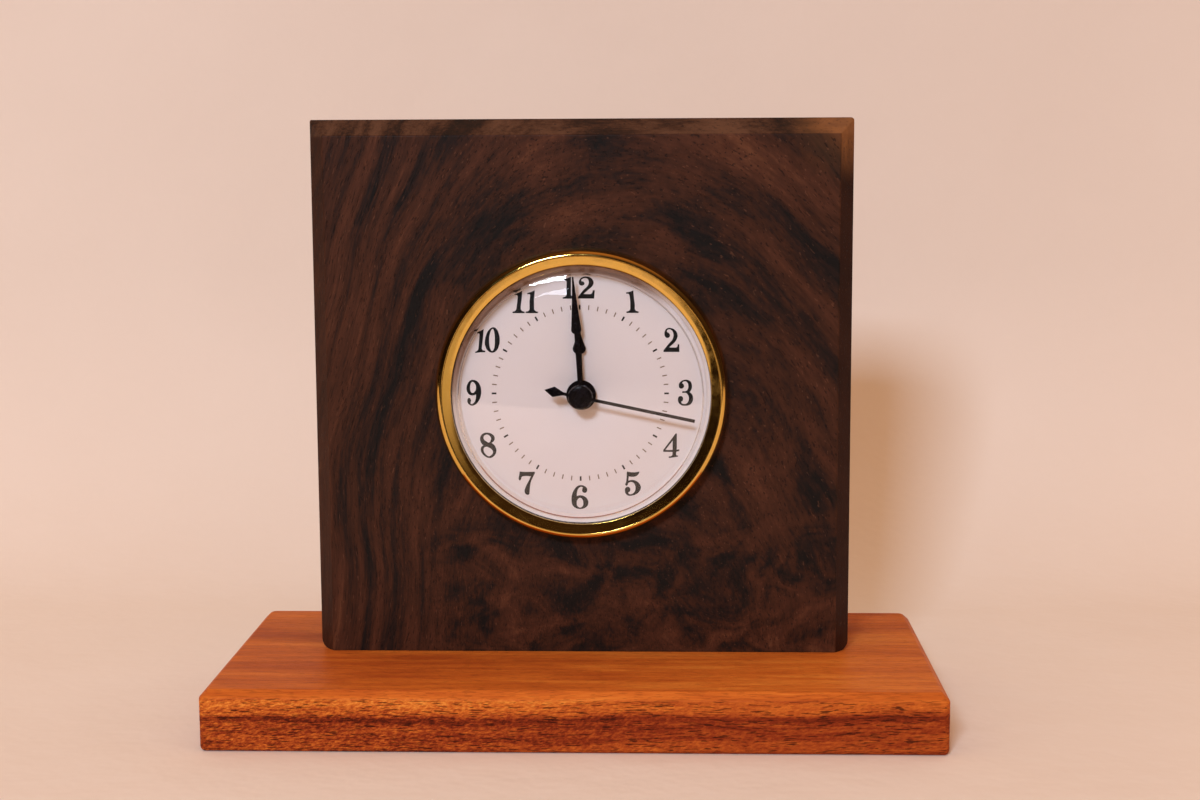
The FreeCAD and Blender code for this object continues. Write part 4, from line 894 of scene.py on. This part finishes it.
# %% Printing the minute track
clear_selection()
tick_radius, tick_length, thin_tick, thick_tick, track_shift = 21.1, 1.15, 0.27, 0.42, 0.6
tick_models = []
for width in (thin_tick, thick_tick):
    bpy.ops.mesh.primitive_cube_add(size=1, scale=(width * mm, ink_depth * mm, tick_length * mm))
    tick = bpy.context.object
    tick.name = "tick"
    apply_place()
    edit(tick)
    bevel_edges(tick, 0.04, 2, lambda middle, corners: runs_along(corners, 1))
    bpy.ops.object.mode_set(mode="OBJECT")
    tick_models.append(tick)
thin_marks = []
for minute in range(60):
    angle = math.radians(6 * minute)
    place = spot(tick_radius * math.sin(angle), tick_radius * math.cos(angle), dial_front - ink_depth / 2)
    on_the_five = minute % 5 == 0
    mark = print_mark(tick_models[on_the_five], place + printed_off_middle * track_shift, angle)
    (marks if on_the_five else thin_marks).append(mark)
for tick in tick_models:
    bpy.data.objects.remove(tick)
print("thin minute marks", len(thin_marks))


# %% One piece of ink
def joined(pieces, name):
    """Several meshes as one piece."""
    clear_selection()
    for piece in pieces:
        piece.select_set(True)
    bpy.context.view_layer.objects.active = pieces[0]
    bpy.ops.object.join()
    pieces[0].name = name
    return pieces[0]


for pieces_of_ink, name, ink in ((marks, "dial_numerals", dial_ink),
                                 (thin_marks, "dial_minute_marks", thin_ink)):
    printed = joined(pieces_of_ink, name)
    finish_with(printed, ink)
    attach(printed, "insert")
    print(name, "faces", len(printed.data.polygons))

# %% [markdown]
# ## The white ring and the cap
# Between the dial's edge and the lens stands a white ring with a sloped inside, and a black cap
# with a flat front covers the middle of the hands. Both are turned.

# %% The dial's ring
ring_white = plain_finish("ring_white", seen(222, 197, 190), 0.4, cloud=0.012, size=9.0, relief=0.004)
ring_front, ring_back = depths("dial_ring")
ring = turned("dial_edge_ring", [(30.5, ring_back, 0.12), (32.9, ring_back, 0), (32.9, ring_front, 0.1),
                                 (31.5, ring_front, 0.25)])
stand_in(ring, ring_white, "dial_ring")

# %% The cap on the hands
hand_black = plain_finish("hand_black", (0.003, 0.0026, 0.0038, 1), 0.22, cloud=0.3, size=2.0, relief=0.004,
                          gloss=0.12)
cap_front, cap_back = depths("second_hand_cap")
cap = turned("hands_cap", [(0, cap_front, 0), (2.45, cap_front, 0.15), (2.85, cap_front + 0.3, 0.2),
                           (3.0, cap_front + 0.9, 0.2), (3.0, cap_back, 0), (0, cap_back, 0)],
             closed=False, steps=72)
stand_in(cap, hand_black, "second_hand_cap")

# %% [markdown]
# ## The second hand
# The real second hand and the lozenge on its tail look bolder than the solid's. A copy of the CAD mesh is
# turned level, and all that shows past the cap is stretched across the hand. The hub keeps its size.

# %% The second hand
hand_angle, bolder, hub_radius, half_width = math.radians(101.9), 1.3, 1.4, 0.3
axis = spot(0, 0, 0)
turn = Matrix.Rotation(math.pi / 2 - hand_angle, 4, "Y")
laid_level = Matrix.Translation(axis) @ turn @ Matrix.Translation(-axis)
needle = bpy.data.objects.new("seconds_needle", frame["nodes"]["second_hand"].data.copy())
bpy.context.collection.objects.link(needle)
needle.data.transform(laid_level)
edit(needle, "VERT")
pick_all()
bpy.ops.mesh.remove_doubles(threshold=0.001 * mm)


def on_the_blade(place, corners):
    """Whether a corner lies past the hub, or where the blade starts on it."""
    out = place - axis / mm
    starts = out.xz.length > hub_radius - 0.02 and abs(out.z) < half_width + 0.01
    return starts or out.xz.length > hub_radius + 0.05


stretched = pick(needle, "verts", on_the_blade)
bpy.ops.transform.resize(value=(1, 1, bolder), center_override=axis)
bpy.ops.object.mode_set(mode="OBJECT")
needle.data.transform(laid_level.inverted())
smooth(needle, 30)
print("stretched corners", stretched, "of", len(needle.data.vertices))
stand_in(needle, hand_black, "second_hand")

# %% [markdown]
# ## The lens
# The lens is clear plastic: a steep rim and a shallow dome. It is a shell of one thickness, so that it bends
# the view a little at its rim, where the real one shows fine rings. Glass in Cycles blocks the lamp, which
# would leave the dial in the dark, so the rays that light the dial pass as if the lens were not there. Only
# the foot of the wall at the upper left, which bends the light away, holds some of it back. The view through
# the wall is mostly let through unbent, because it showed grey lines that the real one hasn't, and it is
# dimmed at the upper left, where the real wall mirrors the dark room.

# %% Clear plastic
clear_plastic, tree, shader, place = new_finish("clear_plastic", Transmission_Weight=1.0, IOR=1.49)
cloud = use_group(tree, rubbed, {"Place": place, "Size": 8.0})["Cloud"]
set_inputs(tree, shader, {
    "Base Color": ramp(tree, cloud, (0.3, (0.99, 0.985, 0.98, 1)), (0.7, (1, 1, 1, 1))),
    "Roughness": between(tree, cloud, 0.3, 0.7, 0.0, 0.012)})
flat, radius = from_dial_middle(tree, place)
upper_left = add(tree, "VectorMath", {0: flat, 1: (-0.42, 0, 0.91)}, operation="DOT_PRODUCT").outputs["Value"]
upper_left = between(tree, calc(tree, "DIVIDE", upper_left, radius), 0.3, 0.7)
wall = between(tree, radius, 29.3, 30.0, 0.0, 0.9)
dim_wall = times(tree, upper_left, between(tree, radius, 29.7, 30.3))
dark_foot = times(tree, upper_left, between(tree, radius, 31.0, 31.6))
wall_view = colour_mix(tree, dim_wall, (1, 1, 1, 1), (0.62, 0.50, 0.42, 1))
dial_light = colour_mix(tree, dark_foot, (1, 1, 1, 1), (0.25, 0.25, 0.25, 1))
path = add(tree, "LightPath").outputs
lights_dial = calc(tree, "MAXIMUM", path["Is Shadow Ray"], path["Is Diffuse Ray"])
surface = see_through(tree, wall, shader.outputs[0], wall_view)
surface = see_through(tree, lights_dial, surface, dial_light)
set_inputs(tree, tree.nodes["Material Output"], {"Surface": surface})
print("clear plastic nodes", len(tree.nodes))

# %% The lens
lens_thick, dome_radius, dome_edge, dome_steps = 1.35, 29.9, -8.35, 24
crown, foot = depths("lens")


def dome(radius, edge, crown):
    """Points from the crown on the axis to the edge of a shallow dome, on one sphere."""
    rise = edge - crown
    sphere = (radius ** 2 + rise ** 2) / (2 * rise)
    steps = [radius * number / dome_steps for number in range(dome_steps)]
    return [(out, crown + sphere - math.sqrt(sphere ** 2 - out ** 2), 0) for out in steps]


outside = dome(dome_radius, dome_edge, crown)
inside = dome(dome_radius - lens_thick, dome_edge + lens_thick, crown + lens_thick)
lens_profile = outside + [(30.1, -8.33, 0.25), (30.9, -7.4, 0.5), (31.6, foot - 0.8, 0.1),
                          (32.9, foot - 0.8, 0.1), (32.9, foot, 0.1), (30.9, foot, 0.1),
                          (29.55, -6.05, 0.4)] + list(reversed(inside))
stand_in(turned("lens_dome", lens_profile, closed=False, steps=192), clear_plastic, "lens")

# %% [markdown]
# ## What keeps its CAD shape
# The hands, the plastic at the back and everything inside have the right shape already. They keep it, and
# get a finish: moulded plastic with a faint cloud, plated or polished metal, and so on.

# %% Finishes of the small pieces
finishes = {
    "hand_black": hand_black,
    "ring_white": ring_white,
    "movement_brass": plain_finish("gear_brass", (0.80, 0.55, 0.22, 1), 0.28, 1.0),
    "copper_wire": plain_finish("copper_wire", (0.78, 0.33, 0.16, 1), 0.30, 1.0, cloud=0.2, size=0.8,
                                relief=0.05),
    "screw_steel": plain_finish("plated_steel", (0.62, 0.61, 0.58, 1), 0.30, 1.0),
    "soft_iron": plain_finish("soft_iron", (0.42, 0.41, 0.40, 1), 0.45, 1.0),
    "magnet": plain_finish("sintered_magnet", (0.20, 0.20, 0.21, 1), 0.50, 1.0),
    "battery_can": plain_finish("battery_can", (0.70, 0.69, 0.67, 1), 0.22, 1.0),
    "contact": plain_finish("nickel_contact", (0.66, 0.62, 0.54, 1), 0.25, 1.0),
    "cup_black": plain_finish("moulded_black", (0.012, 0.012, 0.013, 1), 0.45, cloud=0.25, relief=0.03),
    "knob_black": plain_finish("knob_black", (0.016, 0.016, 0.017, 1), 0.38, cloud=0.25, relief=0.03),
    "band_rubber": plain_finish("band_rubber", (0.02, 0.019, 0.018, 1), 0.75, cloud=0.2, relief=0.05),
    "plate_plastic": plain_finish("plate_plastic", (0.035, 0.035, 0.037, 1), 0.42, cloud=0.2, relief=0.02),
    "gear_plastic": plain_finish("gear_plastic", (0.82, 0.80, 0.74, 1), 0.42, cloud=0.04, relief=0.01),
    "board": plain_finish("circuit_board", (0.05, 0.20, 0.08, 1), 0.40, cloud=0.2, size=1.2, relief=0.03),
    "chip": plain_finish("chip_resin", (0.01, 0.01, 0.011, 1), 0.28, cloud=0.2, size=1.0, relief=0.05),
    "crystal_can": plain_finish("crystal_can", (0.72, 0.72, 0.70, 1), 0.22, 1.0, size=1.5),
}
kept = [name for name, node in frame["nodes"].items() if not node.hide_render]
for name in kept:
    finish_with(frame["nodes"][name], finishes[slot_of_node[name]])
print("kept nodes with a new finish", len(kept))

# %% [markdown]
# ## The end
# Nothing is left selected.

# %% The end
clear_selection()
